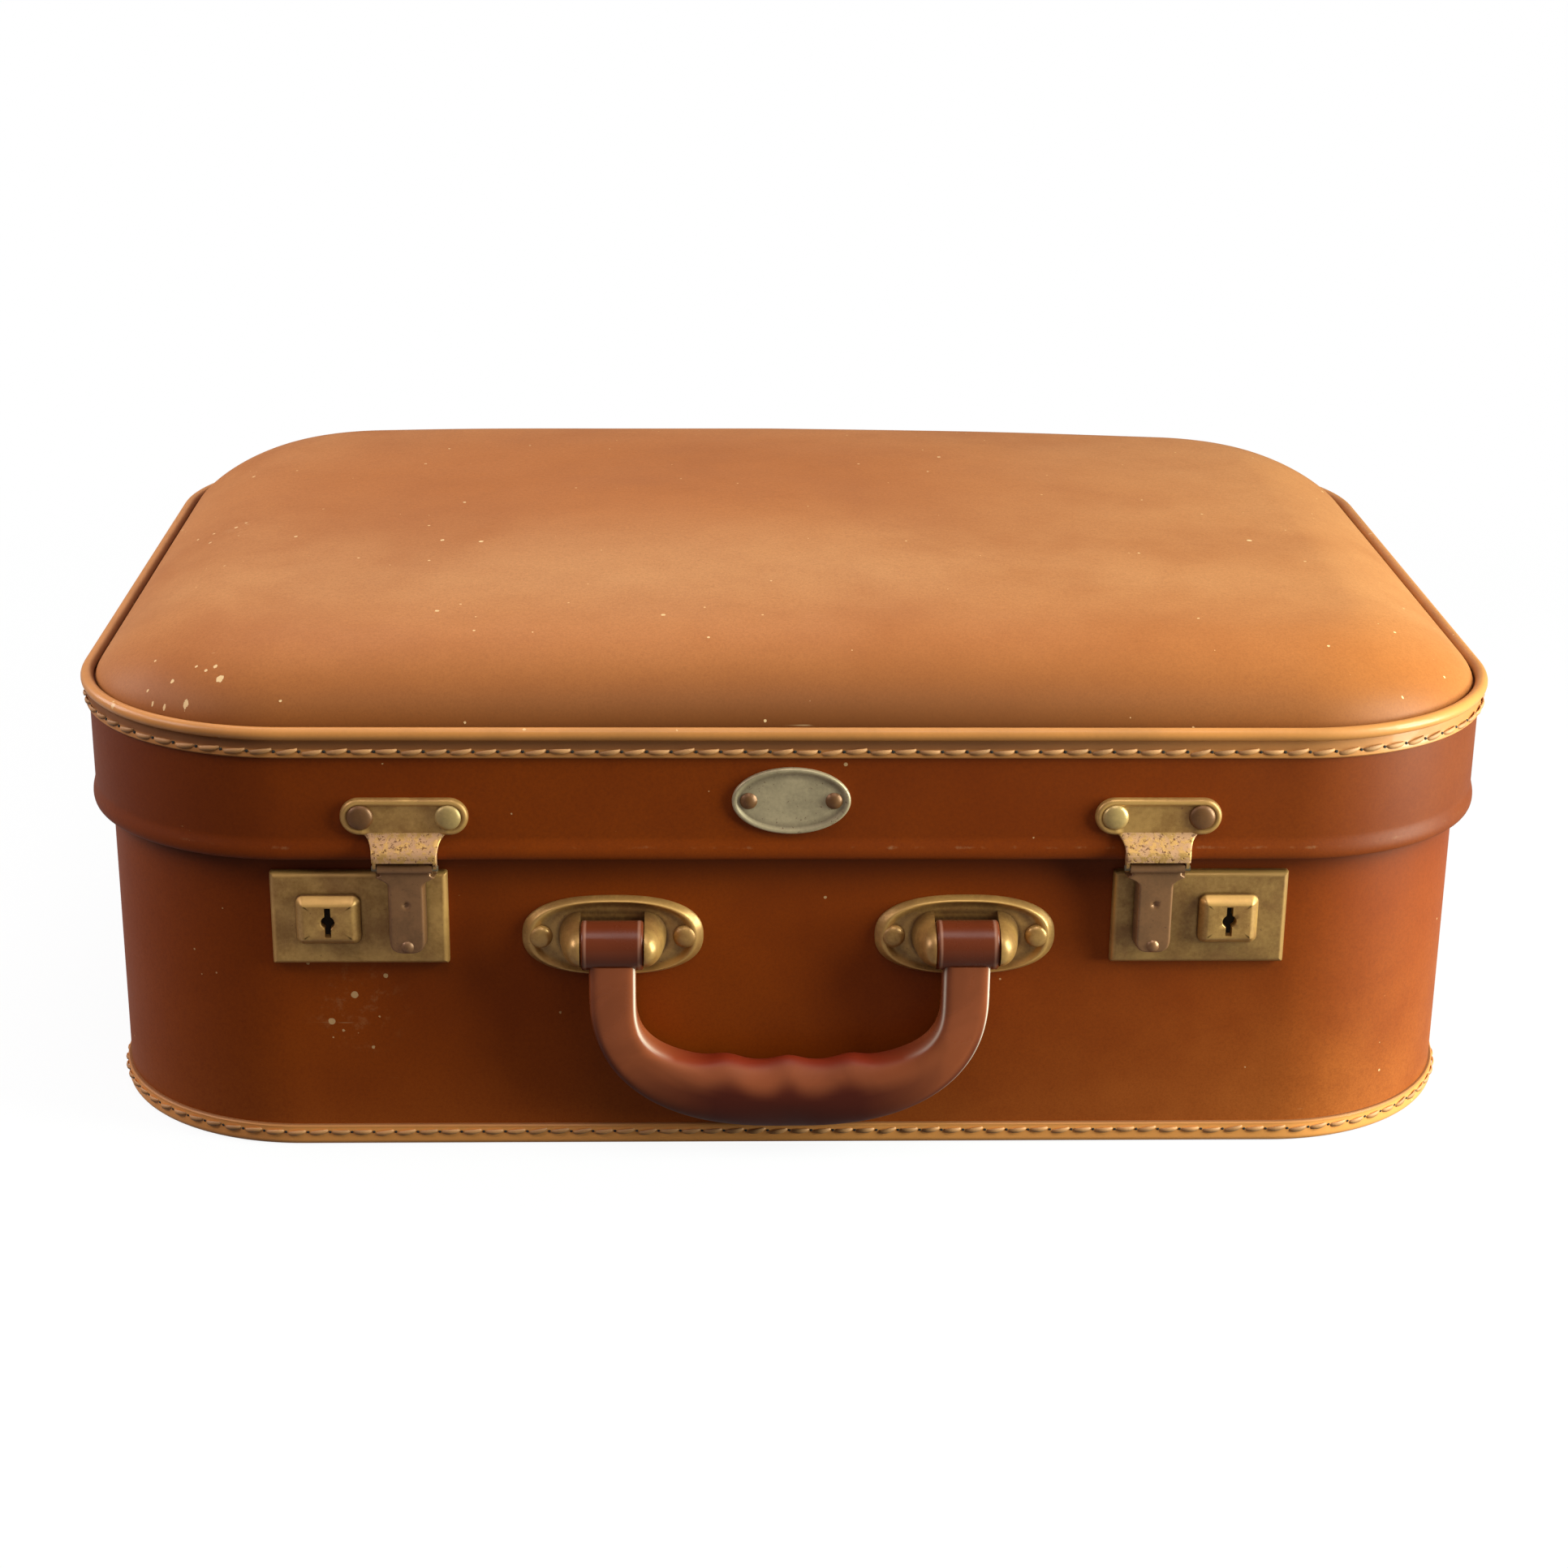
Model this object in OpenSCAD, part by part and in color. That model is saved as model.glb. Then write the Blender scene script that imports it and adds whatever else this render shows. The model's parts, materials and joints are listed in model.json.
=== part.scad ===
// Vintage fibre suitcase: a deep base, a shallow crowned lid that overlaps it,
// two hasp locks, a moulded handle in pressed brackets and two hinges behind.
// Sizes are in millimetres. X runs along the width, the front with the locks
// faces -Y, and Z is up. The origin is the middle of the flat underside.

/* [Case] */
// Width of the base between the outer faces of its side walls
case_w = 430; // [400:1:460]
// Depth of the base between the outer faces of its front and back walls
case_d = 320; // [290:1:350]
// Radius of the four upright corners of the base
corner_r = 63; // [52:1:74]
// Height of the lid's lower edge above the floor
lip_z = 97.5; // [96:0.5:110]
// How far the base wall runs up inside the lid
overlap = 9; // [6:0.5:10]
// Thickness of the fibre sheet
fibre_t = 2.2; // [1.6:0.1:2.6]
// Thickness of the paper lining
lining_t = 0.8; // [0.5:0.1:1.2]
// Free space between the base wall and the lining of the lid
lid_gap = 2; // [1.5:0.1:3]
// Clearance between pieces that are nested and glued or sewn
seat_gap = 0.05; // [0.03:0.01:0.1]
// Height of the turned edges by which the two panels are sewn to the walls
flange_h = 12; // [10:0.5:14]

/* [Welts] */
// Height of the lid from its lower edge to the top of its piped welt
lid_h = 42; // [40:0.5:48]
// Radius of the piping along the lid's upper edge
lid_bead_r = 2; // [1.5:0.1:2.2]
// How far the piping stands out of the lid's wall
bead_out = 2.3; // [1.8:0.1:2.6]
// Height of the sewn strip of the lid's welt
lid_strip_h = 7.5; // [6:0.5:9]
// Radius of the rolled edge of the base's welt
base_bead_r = 2; // [1.5:0.1:2.2]
// Height of the base's welt above the floor
base_strip_h = 7; // [6:0.5:9]
// Thickness of the sewn strips
strip_t = 1.2; // [0.8:0.1:1.6]
// Height of the rolled hem along the lid's lower edge
hem_h = 5; // [4:0.5:6]
// How far the rolled hem stands out of the lid's wall
hem_t = 0.9; // [0.6:0.1:1.2]

/* [Lid panel] */
// Width of the rounded shoulder around the panel
shoulder_w = 40; // [30:1:48]
// Rise of the shoulder above the panel's edge
shoulder_h = 20.5; // [14:0.5:24]
// Further rise of the crown in the middle of the panel
crown_h = 10; // [4:0.5:14]

/* [Latches] */
// Distance of each hasp from the end of the flat front wall, before the pair is shifted
latch_x = 39; // [36:1:50]
// Distance of the middle of the pair of hasps from the middle of the case
latch_shift = -3.4; // [-6:0.2:6]
// Height of the middle of the lock plates
lock_z = 77.6; // [76:0.2:79]
// Width of a lock plate
lock_w = 52.5; // [50:0.5:56]
// Height of a lock plate
lock_h = 28.5; // [27:0.5:30]
// Depth of the pressed tray of a lock plate
lock_t = 3; // [2.6:0.1:3.4]
// Slope of the tray's sides, measured across its front
lock_bevel = 1.5; // [1:0.1:2]
// How far a lock plate reaches past its hasp towards the middle of the case
lock_in = 12; // [11:0.5:13]
// Thickness of the pressed sheet of the locks and hasps
sheet_t = 1; // [0.8:0.1:1.2]
// Width of the keyhole button
button_w = 19.5; // [18:0.5:21]
// Height of the keyhole button
button_h = 15.5; // [14.5:0.5:17]
// How far the button stands in front of the lock plate
button_t = 4; // [3:0.5:5]
// Distance of the button from its hasp
button_x = 24; // [23:0.5:25]
// Travel of the button when it releases the hasp
slide_travel = 5.5; // [4:0.5:5.5]
// Radius of the round middle of the keyhole
key_r = 2.1; // [1.8:0.1:2.4]
// Width of the keyhole's slot
key_slot_w = 1.9; // [1.4:0.1:2.2]
// Height of the keyhole's slot
key_slot_h = 9.6; // [8:0.2:10.5]

/* [Hasps] */
// Width of a hasp plate on the lid
hasp_plate_w = 38.3; // [36:0.1:40]
// Height of a hasp plate on the lid
hasp_plate_h = 11.7; // [11:0.1:12.5]
// Height of the middle of the hasp plates above the lid's lower edge
hasp_plate_rise = 14; // [13.5:0.5:16]
// Thickness of a hasp plate
hasp_plate_t = 1.4; // [1.2:0.1:1.8]
// Distance of each rivet of a hasp plate from the plate's end
hasp_rivet_gap = 6.05; // [5.8:0.05:6.6]
// Width of the hood where it leaves the plate
hood_top_w = 25.5; // [23:0.5:27]
// Width of the hood at its lower edge
hood_w = 19; // [18:0.5:20]
// Radius of the hasp's knuckle
knuckle_r = 2; // [1.8:0.1:2.2]
// Radius of the hasp's hinge pin
hasp_pin_r = 0.9; // [0.7:0.1:1.1]
// Width of the strap of a hasp
strap_w = 10.4; // [9:0.2:11]
// Length of a hasp below its pin
hasp_l = 28.8; // [27:0.2:30]
// Depth of the turned sides of a hasp
strap_depth = 4.5; // [3.5:0.1:4.6]
// Radius of the stud's head
stud_head_r = 1.9; // [1.6:0.1:2.2]

/* [Handle] */
// Distance between the middles of the two handle brackets
handle_pitch = 107.6; // [100:0.2:112]
// Distance of the handle's middle from the middle of the case
handle_shift = -0.9; // [-4:0.1:4]
// Height of the handle's pins above the floor
handle_z = 70.8; // [70:0.2:74]
// Distance of the handle's pins from the wall
handle_pin_off = 8.2; // [8.2:0.1:9.5]
// Radius of the handle's pins
handle_pin_r = 1.75; // [1.4:0.05:2]
// Radius of the barrels of the handle
barrel_r = 6.4; // [5.8:0.1:6.8]
// Width of the arms of the handle
arm_w = 14.2; // [12:0.2:16]
// Depth of the arms from front to back
arm_depth = 12; // [10:0.2:12.4]
// Depth of the grip from front to back
grip_depth = 14; // [12:0.2:14.6]
// Height of the grip in its middle
grip_h = 22.2; // [18:0.2:24]
// Distance from the pins to the underside of the grip
handle_drop = 60.8; // [54:0.2:61]
// Height of the three finger ridges
ridge_h = 1.8; // [1:0.1:2.4]
// Distance between the finger ridges
ridge_gap = 19; // [16:0.5:20]
// Width of an oval handle bracket
bracket_w = 55.3; // [54:0.1:58]
// Height of an oval handle bracket
bracket_h = 24; // [22.6:0.2:26]
// Thickness of the bracket's sheet
bracket_t = 1; // [0.8:0.1:1.2]
// Height of the rolled rim of a bracket above its sheet
rim_h = 0.7; // [0.4:0.1:0.9]
// Width of the rolled rim of a bracket
rim_w = 1.6; // [1.2:0.1:2]
// Width of the window between the domes of a bracket
window_w = 19.5; // [18:0.1:21]
// Width over the two domes of a bracket
dome_w = 31; // [29:0.5:33]
// Radius of the domes of a bracket
dome_r = 8; // [7.8:0.1:8.4]
// Distance of each rivet of a bracket from the bracket's end
bracket_rivet_gap = 5.65; // [5.15:0.05:6.65]

/* [Badge] */
// Width of the oval badge
badge_w = 35.6; // [32:0.2:38]
// Height of the oval badge
badge_h = 21; // [18:0.2:22]
// Height of the badge's middle above the lid's lower edge
badge_rise = 19; // [17:0.5:20]
// Thickness of the badge's face
badge_t = 0.8; // [0.6:0.1:1.2]
// Height of the badge's rim above its face
badge_rim_h = 0.6; // [0.4:0.1:1]
// Width of the badge's rim
badge_rim_w = 1.3; // [1:0.1:1.8]
// Distance of each rivet of the badge from the badge's end
badge_rivet_gap = 5; // [4.8:0.05:5.8]

/* [Rivets] */
// Radius of the large domed rivet heads on the hasp plates
hasp_head_r = 3.9; // [3.4:0.1:4.2]
// Radius of the rivet heads on the handle brackets and hinges
bracket_head_r = 3.3; // [3:0.1:3.6]
// Radius of the rivet heads on the badge
badge_head_r = 2.6; // [2.2:0.1:2.8]
// Height of a rivet head as a share of its radius
dome_share = 0.5; // [0.35:0.05:0.6]
// Radius of the rivet shanks
shank_r = 1.4; // [1.1:0.1:1.6]
// Radius of the closed tails inside
tail_r = 2.6; // [2.2:0.1:3]
// Height of the closed tails inside
tail_h = 0.8; // [0.6:0.1:1]

/* [Hinges] */
// Distance of the middle of each hinge from the end of the flat back wall
hinge_x = 40; // [30:1:60]
// Width of a hinge
hinge_w = 42; // [36:1:46]
// Thickness of the hinge leaves
leaf_t = 1.2; // [1:0.1:1.4]
// Radius of the hinge knuckles
hinge_r = 3; // [2.6:0.1:3.2]
// Radius of the hinge pins
hinge_pin_r = 1.25; // [1:0.05:1.4]
// Height of a hinge leaf on the wall of the base
leaf_drop = 20; // [16:1:24]
// Height of a hinge leaf on the wall of the lid
leaf_rise = 20; // [18:1:22]
// Distance of each rivet of a hinge leaf from the leaf's end
leaf_rivet_gap = 8; // [7:0.5:10]

/* [Hidden] */
$fn = 48;

fibre_brown = [0.55, 0.29, 0.11];
panel_tan = [0.70, 0.42, 0.22];
welt_tan = [0.68, 0.40, 0.19];
paper_buff = [0.80, 0.72, 0.58];
brass = [0.60, 0.50, 0.28];
coppery = [0.56, 0.42, 0.27];
steel = [0.58, 0.57, 0.54];
handle_red = [0.42, 0.20, 0.14];
badge_grey = [0.62, 0.60, 0.54];

// Running clearance of a pin in a bore that turns on it
run_gap = 0.05;
// Clearance of a pin, a rivet or a tab in a hole that it is fixed in
fix_gap = 0.03;
// Air between moving pieces that pass each other
air = 0.3;
// Spare length of cutting tools past the faces that they cut
cut = 1;
// How far the pins stand out of the pieces that hold them
pin_proud = 0.4;

// Gap between the rolled edge of the base's welt and the wall above it
welt_gap = 0.2;
// Step at the two edges of the rolled hem
hem_edge = 0.2;
// How far the edge of the lid panel lies below the middle of the piping
panel_sink = 0.5;
// Height of the slanted bend at the edge of the bottom tray
bend = 5;

// Heights of the case
base_top = lip_z + overlap;
lid_top = lip_z + lid_h;
band_z0 = 2 * base_bead_r + welt_gap;
lid_bead_z = lid_top - lid_bead_r;
lid_band_top = lid_bead_z - lid_bead_r;
panel_edge_z = lid_bead_z - panel_sink;
skirt_z = panel_edge_z - flange_h;

// Distances from the outer face of the base wall, outwards positive
lid_off = fibre_t + seat_gap + lining_t + lid_gap;
lid_in = lid_off - fibre_t;
panel_off = lid_in - seat_gap;
wall_in = fibre_t + seat_gap + lining_t;

// Distance of a hasp's pin below the lid's lower edge
hasp_drop = 1.5;
// How far the face of a hasp's strap stands in front of its pin's middle
strap_lead = 0.2;
// Distance of the stud below the middle of the strap's round end
stud_drop = 2;
// Distance of the dimple above the middle of the strap's round end
dimple_rise = 10;
// Radius of the dimple
dimple_r = 1;
// Length of the full width below the pin, and of the taper down to the strap
hasp_shoulder = 4;
hasp_taper = 2;
// Room around the stud in the eye of the lock plate
eye_room = 0.7;
// Lap of the hood on the hasp plate, and height of its turned edge
hood_lap = 2;
hood_turn = 2.4;
// Sloping edge of the hasp plates and of the keyhole buttons
plate_bevel = 0.7;
button_bevel = 1;
// Width of the button's stem, and the margin of the stem above the keyhole
stem_w = 8;
stem_margin = 1;
// Thickness of the slide, and its reach on each side of the button's middle
slide_t = 1;
slide_lead = 9;
slide_tail = 8;
// The bolt: distance of its nose from the hasp's middle, height, and width of its neck
nose_gap = 2;
nose_h = 4;
neck_w = 6;
// The slide's spring: thickness of its leaf and number of folds
leaf_wire = 0.6;
folds = 5;
// Width of a clinched tab, distance from the plate's end, and length of its turned end
tab_w = 4;
tab_inset = 8;
clinch_l = 3;
// Thickness of the backplates, and how they fall short of and pass the lock plates
back_t = 0.8;
back_short = 4;
back_lip = 1;

// Distances of the hasps and hinges from the middle, and of rivets from the middle of their plates
latch_mid = case_w / 2 - corner_r - latch_x;
hinge_mid = case_w / 2 - corner_r - hinge_x;
hasp_rivet_x = hasp_plate_w / 2 - hasp_rivet_gap;
bracket_rivet_x = bracket_w / 2 - bracket_rivet_gap;
badge_rivet_x = badge_w / 2 - badge_rivet_gap;
leaf_rivet_x = hinge_w / 2 - leaf_rivet_gap;

// Latch heights and distances from the base wall
hasp_z = lip_z - hasp_drop;
hasp_off = lid_off + hem_t + knuckle_r + 2 * air;
hasp_plate_z = lip_z + hasp_plate_rise;
hasp_plate_low = hasp_plate_z - hasp_plate_h / 2;
hood_low = hasp_z + knuckle_r + 2 * air;
hood_off = hasp_off + knuckle_r + 2 * air;
hasp_t_w = hood_w - 2 * sheet_t - 2 * air;
strap_off = hasp_off + strap_lead;
strap_z = hasp_z - hasp_l + strap_w / 2;
stud_z = strap_z - stud_drop;
dimple_z = strap_z + dimple_rise;
stud_tip_off = lock_t + air;
eye_r = stud_head_r + eye_room;
lock_in_bevel = lock_bevel * (lock_t - sheet_t) / lock_t;
lock_mid = lock_w / 2 - lock_in;
stem_h = key_slot_h + 2 * stem_margin;
slide_off = (lock_t - sheet_t - slide_t) / 2;
slide_end = button_x + slide_tail;
spring_end = lock_mid + lock_w / 2 - sheet_t - lock_in_bevel;
tab_x = lock_w / 2 - tab_inset;
tab_z = lock_h / 2 - sheet_t / 2;

// Length of the straight arms of the handle below its pins
arm_l = 15;
// Half width of a finger ridge
ridge_w = 4;
arm_z = handle_z - arm_l;
outer_a = (handle_pitch + arm_w) / 2;
outer_b = handle_drop - arm_l;
inner_a = (handle_pitch - arm_w) / 2;
inner_b = outer_b - grip_h;
dome_end = (dome_w - window_w) / 2;
handle_mouth = window_w - 2 * air;

// Gap between the hinge knuckles and the lid's hem, sideways and below
hinge_gap = 0.5;
// Length of the necks that carry the knuckles of a base leaf
leaf_neck = 4;
// Distance from a lid leaf's rivets to its upper edge
leaf_margin = 6;
hinge_z = lip_z - hinge_r - hinge_gap;
hinge_off = lid_off + hem_t + hinge_r + hinge_gap;
hinge_third = hinge_w / 3;
hinge_lid_rivet_z = hinge_z + hinge_r + leaf_rise;
leaf_top = hinge_z - hinge_r - leaf_neck;
hinge_base_rivet_z = leaf_top - leaf_drop / 2;

// Outlines and placing

// A rectangle with round corners about the origin
module round_rect(w, d, r) {
  square([w - 2 * r, d], center = true);
  square([w, d - 2 * r], center = true);
  for (sx = [-1, 1], sy = [-1, 1])
    translate([sx * (w / 2 - r), sy * (d / 2 - r)]) circle(r);
}

// The case's outline, moved outwards by off
module case_outline(off) {
  round_rect(case_w + 2 * off, case_d + 2 * off, corner_r + off);
}

// A standing wall between two outlines
module wall(z0, z1, off_in, off_out) {
  translate([0, 0, z0]) linear_extrude(z1 - z0) difference() {
    case_outline(off_out);
    case_outline(off_in);
  }
}

// Carries a profile of (distance from the base wall, height) around the case
module around_case() {
  for (i = [0 : 3]) {
    reach = (i % 2 == 0) ? case_w / 2 : case_d / 2;
    run = ((i % 2 == 0) ? case_d : case_w) - 2 * corner_r;
    rotate([0, 0, 90 * i]) translate([reach, 0, 0]) rotate([90, 0, 0])
      linear_extrude(run, center = true) children();
    corner_x = (i == 0 || i == 3) ? 1 : -1;
    corner_y = (i < 2) ? 1 : -1;
    translate([corner_x * (case_w / 2 - corner_r), corner_y * (case_d / 2 - corner_r), 0])
      rotate([0, 0, 90 * i]) rotate_extrude(angle = 90) translate([corner_r, 0]) children();
  }
}

// An oval outline
module oval(w, h, steps = 72) {
  polygon([for (i = [0 : steps - 1]) [w / 2 * cos(360 * i / steps), h / 2 * sin(360 * i / steps)]]);
}

// Local x stays X, local y becomes Z and local z points out of the front wall
module front(x, z, off = 0) {
  translate([x, -(case_d / 2 + off), z]) rotate([90, 0, 0]) children();
}

// The same on the back wall, seen from behind
module back(x, z, off = 0) {
  translate([x, case_d / 2 + off, z]) rotate([90, 0, 180]) children();
}

// Extrudes a profile of (distance from the front wall, height) along X
module front_profile(run) {
  translate([0, -case_d / 2, 0]) rotate([90, 0, -90]) linear_extrude(run, center = true) children();
}

// Extrudes a profile of (distance from the back wall, height) along X
module back_profile(run) {
  translate([0, case_d / 2, 0]) rotate([90, 0, 90]) linear_extrude(run, center = true) children();
}

// A rod along X in front of the front wall
module front_rod(off, z, r, run) {
  translate([0, -(case_d / 2 + off), z]) rotate([0, 90, 0]) cylinder(r = r, h = run, center = true);
}

// A rod along X behind the back wall
module back_rod(off, z, r, run) {
  translate([0, case_d / 2 + off, z]) rotate([0, 90, 0]) cylinder(r = r, h = run, center = true);
}

// Places a latch piece: its local +X points away from the middle of the case
module latch(side) {
  translate([latch_shift + side * latch_mid, 0, 0])
    mirror([side < 0 ? 1 : 0, 0, 0]) children();
}

module bracket_place(side) {
  translate([handle_shift + side * handle_pitch / 2, 0, 0]) children();
}

module hinge_place(side) {
  translate([side * hinge_mid, 0, 0]) children();
}

// A rivet along local z: its head sits on z = 0 and its tail closes at -grip
module rivet(head_r, grip) {
  head_h = head_r * dome_share;
  ball_r = (head_r * head_r + head_h * head_h) / (2 * head_h);
  rotate_extrude() {
    intersection() {
      translate([0, head_h - ball_r]) circle(ball_r);
      square([head_r, head_h]);
    }
    translate([0, -grip]) square([shank_r, grip]);
    translate([0, -grip - tail_h]) square([tail_r, tail_h]);
  }
}

// The hole that a rivet's shank passes, through lining, wall and plate
module rivet_hole() {
  translate([0, 0, -wall_in - cut]) cylinder(r = shank_r + fix_gap, h = wall_in + lid_off + 5 * cut);
}

module handle_rivet_places() {
  for (side = [-1, 1], end = [-1, 1])
    translate([handle_shift + side * handle_pitch / 2 + end * bracket_rivet_x, 0, 0]) children();
}

module hasp_rivet_places() {
  for (side = [-1, 1], end = [-1, 1])
    translate([latch_shift + side * latch_mid + end * hasp_rivet_x, 0, 0]) children();
}

module badge_rivet_places() {
  for (end = [-1, 1])
    translate([handle_shift + end * badge_rivet_x, 0, 0]) children();
}

module leaf_rivet_places() {
  for (side = [-1, 1], end = [-1, 1])
    translate([side * hinge_mid + end * leaf_rivet_x, 0, 0]) children();
}

// The base

// Tabs of a lock plate, or the slots for them when grown by room
module lock_tabs(room, depth) {
  for (end = [-1, 1], edge = [-1, 1])
    front(lock_mid + end * tab_x, lock_z + edge * tab_z)
      translate([-tab_w / 2 - room, -sheet_t / 2 - room, -depth])
      cube([tab_w + 2 * room, sheet_t + 2 * room, depth]);
}

// Everything that passes through the walls of the base
module base_cuts() {
  handle_rivet_places() front(0, handle_z) rivet_hole();
  leaf_rivet_places() back(0, hinge_base_rivet_z) rivet_hole();
  for (side = [-1, 1]) latch(side) translate([0, -cut, 0]) lock_tabs(fix_gap, wall_in + 2 * cut);
}

module base_band() color(fibre_brown) difference() {
  wall(band_z0, base_top, -fibre_t, 0);
  base_cuts();
}

// Corner of the bottom tray: a flat floor, a slanted bend and an upright flange
bend_in = bend + fibre_t * (sqrt(2) - 1);
floor_in = fibre_t + seat_gap + bend;
module base_panel() color(fibre_brown) {
  linear_extrude(fibre_t) case_outline(-floor_in - fibre_t);
  around_case() polygon([
    [-floor_in - fibre_t - cut, 0], [-floor_in, 0], [-fibre_t - seat_gap, bend],
    [-fibre_t - seat_gap, flange_h], [-2 * fibre_t - seat_gap, flange_h],
    [-2 * fibre_t - seat_gap, bend_in], [-fibre_t - seat_gap - bend_in, fibre_t],
    [-floor_in - fibre_t - cut, fibre_t]]);
}

module base_welt() color(welt_tan) around_case() {
  translate([strip_t - base_bead_r, base_bead_r]) circle(base_bead_r);
  translate([0, base_bead_r]) square([strip_t, base_strip_h - base_bead_r]);
}

lining_floor = 2 * fibre_t + seat_gap + bend_in + fibre_t;
module base_lining() color(paper_buff) difference() {
  union() {
    translate([0, 0, fibre_t + seat_gap]) linear_extrude(lining_t) case_outline(-lining_floor);
    around_case() polygon([
      [-lining_floor - cut, fibre_t + seat_gap],
      [-fibre_t - 2 * seat_gap - bend_in - seat_gap, fibre_t + seat_gap],
      [-2 * fibre_t - 2 * seat_gap, bend_in + seat_gap],
      [-2 * fibre_t - 2 * seat_gap, flange_h + seat_gap], [-fibre_t - seat_gap, flange_h + seat_gap],
      [-fibre_t - seat_gap, base_top], [-wall_in, base_top],
      [-wall_in, flange_h + seat_gap + lining_t],
      [-2 * fibre_t - 2 * seat_gap - lining_t, flange_h + seat_gap + lining_t],
      [-2 * fibre_t - 2 * seat_gap - lining_t, bend_in + lining_t],
      [-fibre_t - 3 * seat_gap - bend_in - lining_t, fibre_t + seat_gap + lining_t],
      [-lining_floor - cut, fibre_t + seat_gap + lining_t]]);
  }
  base_cuts();
}

// The lid

module lid_cuts() {
  hasp_rivet_places() front(0, hasp_plate_z) rivet_hole();
  badge_rivet_places() front(0, lip_z + badge_rise) rivet_hole();
  leaf_rivet_places() back(0, hinge_lid_rivet_z) rivet_hole();
}

hem_bulge = hem_t - hem_edge;
hem_ball = (hem_h * hem_h / 4 + hem_bulge * hem_bulge) / (2 * hem_bulge);
module lid_band() color(fibre_brown) difference() {
  around_case() {
    translate([lid_in, lip_z]) square([fibre_t, lid_band_top - lip_z]);
    intersection() {
      translate([lid_off + hem_t - hem_ball, lip_z + hem_h / 2]) circle(hem_ball);
      translate([lid_off - fibre_t / 2, lip_z]) square([fibre_t / 2 + hem_t + cut, hem_h]);
    }
  }
  lid_cuts();
}

module lid_welt() color(welt_tan) around_case() {
  translate([lid_off + bead_out - lid_bead_r, lid_bead_z]) circle(lid_bead_r);
  translate([lid_off, lid_top - lid_bead_r - lid_strip_h]) square([strip_t, lid_strip_h]);
}

module lid_lining() color(paper_buff) difference() {
  wall(lip_z + hem_h / 2, skirt_z - 2 * seat_gap, lid_in - seat_gap - lining_t, lid_in - seat_gap);
  lid_cuts();
}

// The crowned panel: rings of points that follow the case's outline inwards over
// the shoulder and then shrink to the middle
panel_w = case_w + 2 * panel_off;
panel_d = case_d + 2 * panel_off;
panel_r = corner_r + panel_off;
corner_steps = 7;
long_steps = 6;
short_steps = 4;

// One quarter turn of a ring, starting at the end of the side before it
function ring_corner(sx, sy, from, inset) = [for (i = [0 : corner_steps])
  let (a = from + 90 * i / corner_steps, r = panel_r - inset)
  [sx * (panel_w / 2 - panel_r) + r * cos(a), sy * (panel_d / 2 - panel_r) + r * sin(a)]];
// Points inside a straight side, between two corners
function ring_side(a, b, steps) = [for (i = [1 : steps - 1]) a + (b - a) * i / steps];
function ring_points(inset) = let (
    q0 = ring_corner(1, 1, 0, inset), q1 = ring_corner(-1, 1, 90, inset),
    q2 = ring_corner(-1, -1, 180, inset), q3 = ring_corner(1, -1, 270, inset),
    n = corner_steps)
  concat(q0, ring_side(q0[n], q1[0], long_steps), q1, ring_side(q1[n], q2[0], short_steps),
    q2, ring_side(q2[n], q3[0], long_steps), q3, ring_side(q3[n], q0[0], short_steps));
// Rise of the crown at a point
function crown(p) = crown_h * (1 - pow(2 * p[0] / panel_w, 2)) * (1 - pow(2 * p[1] / panel_d, 2));
// A ring on the shoulder at angle a of its quarter ellipse, moved in by depth along the normal
function shoulder_ring(a, depth) = let (
    nx = shoulder_h * cos(a), nz = shoulder_w * sin(a), n = norm([nx, nz]),
    inset = shoulder_w * (1 - cos(a)) + depth * nx / n,
    z = panel_edge_z + shoulder_h * sin(a) - depth * nz / n)
  [for (p = ring_points(inset)) [p[0], p[1], z + crown(p)]];
// A ring inside the shoulder, shrunk to a share of the shoulder's inner outline
function inner_ring(share, depth) =
  [for (p = ring_points(shoulder_w)) let (q = p * share)
    [q[0], q[1], panel_edge_z + shoulder_h - depth + crown(q)]];
function skirt_ring(z, depth) = [for (p = ring_points(depth)) [p[0], p[1], z]];

shoulder_angles = [0, 12, 26, 40, 55, 72, 90];
inner_shares = [0.75, 0.5, 0.25];
panel_rings = concat(
  [skirt_ring(skirt_z, 0)],
  [for (a = shoulder_angles) shoulder_ring(a, 0)],
  [for (s = inner_shares) inner_ring(s, 0)]);
panel_under = concat(
  [for (i = [len(inner_shares) - 1 : -1 : 0]) inner_ring(inner_shares[i], fibre_t)],
  [for (i = [len(shoulder_angles) - 1 : -1 : 0]) shoulder_ring(shoulder_angles[i], fibre_t)],
  [skirt_ring(skirt_z, fibre_t)]);

// Triangles between two rings of n points
function band_faces(i, j, n) = [for (k = [0 : n - 1]) let (m = (k + 1) % n)
  each [[i * n + k, j * n + k, j * n + m], [i * n + k, j * n + m, i * n + m]]];
// Closed skin over a stack of rings, capped at a top point and an under point
module ring_skin(over, under, top, bottom) {
  n = len(over[0]);
  rings = concat(over, under);
  count = len(rings);
  points = concat([for (ring = rings) each ring], [top, bottom]);
  middle = len(over) - 1;
  walls = [for (i = [0 : count - 2]) if (i != middle) each band_faces(i, i + 1, n)];
  top_cap = [for (k = [0 : n - 1]) [middle * n + k, count * n, middle * n + (k + 1) % n]];
  low = (middle + 1) * n;
  low_cap = [for (k = [0 : n - 1]) [low + (k + 1) % n, count * n + 1, low + k]];
  foot = band_faces(count - 1, 0, n);
  polyhedron(points, concat(walls, top_cap, low_cap, foot), convexity = 6);
}

module lid_panel() color(panel_tan) {
  middle_z = panel_edge_z + shoulder_h + crown_h;
  ring_skin(panel_rings, panel_under, [0, 0, middle_z], [0, 0, middle_z - fibre_t]);
}

// The locks

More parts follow.
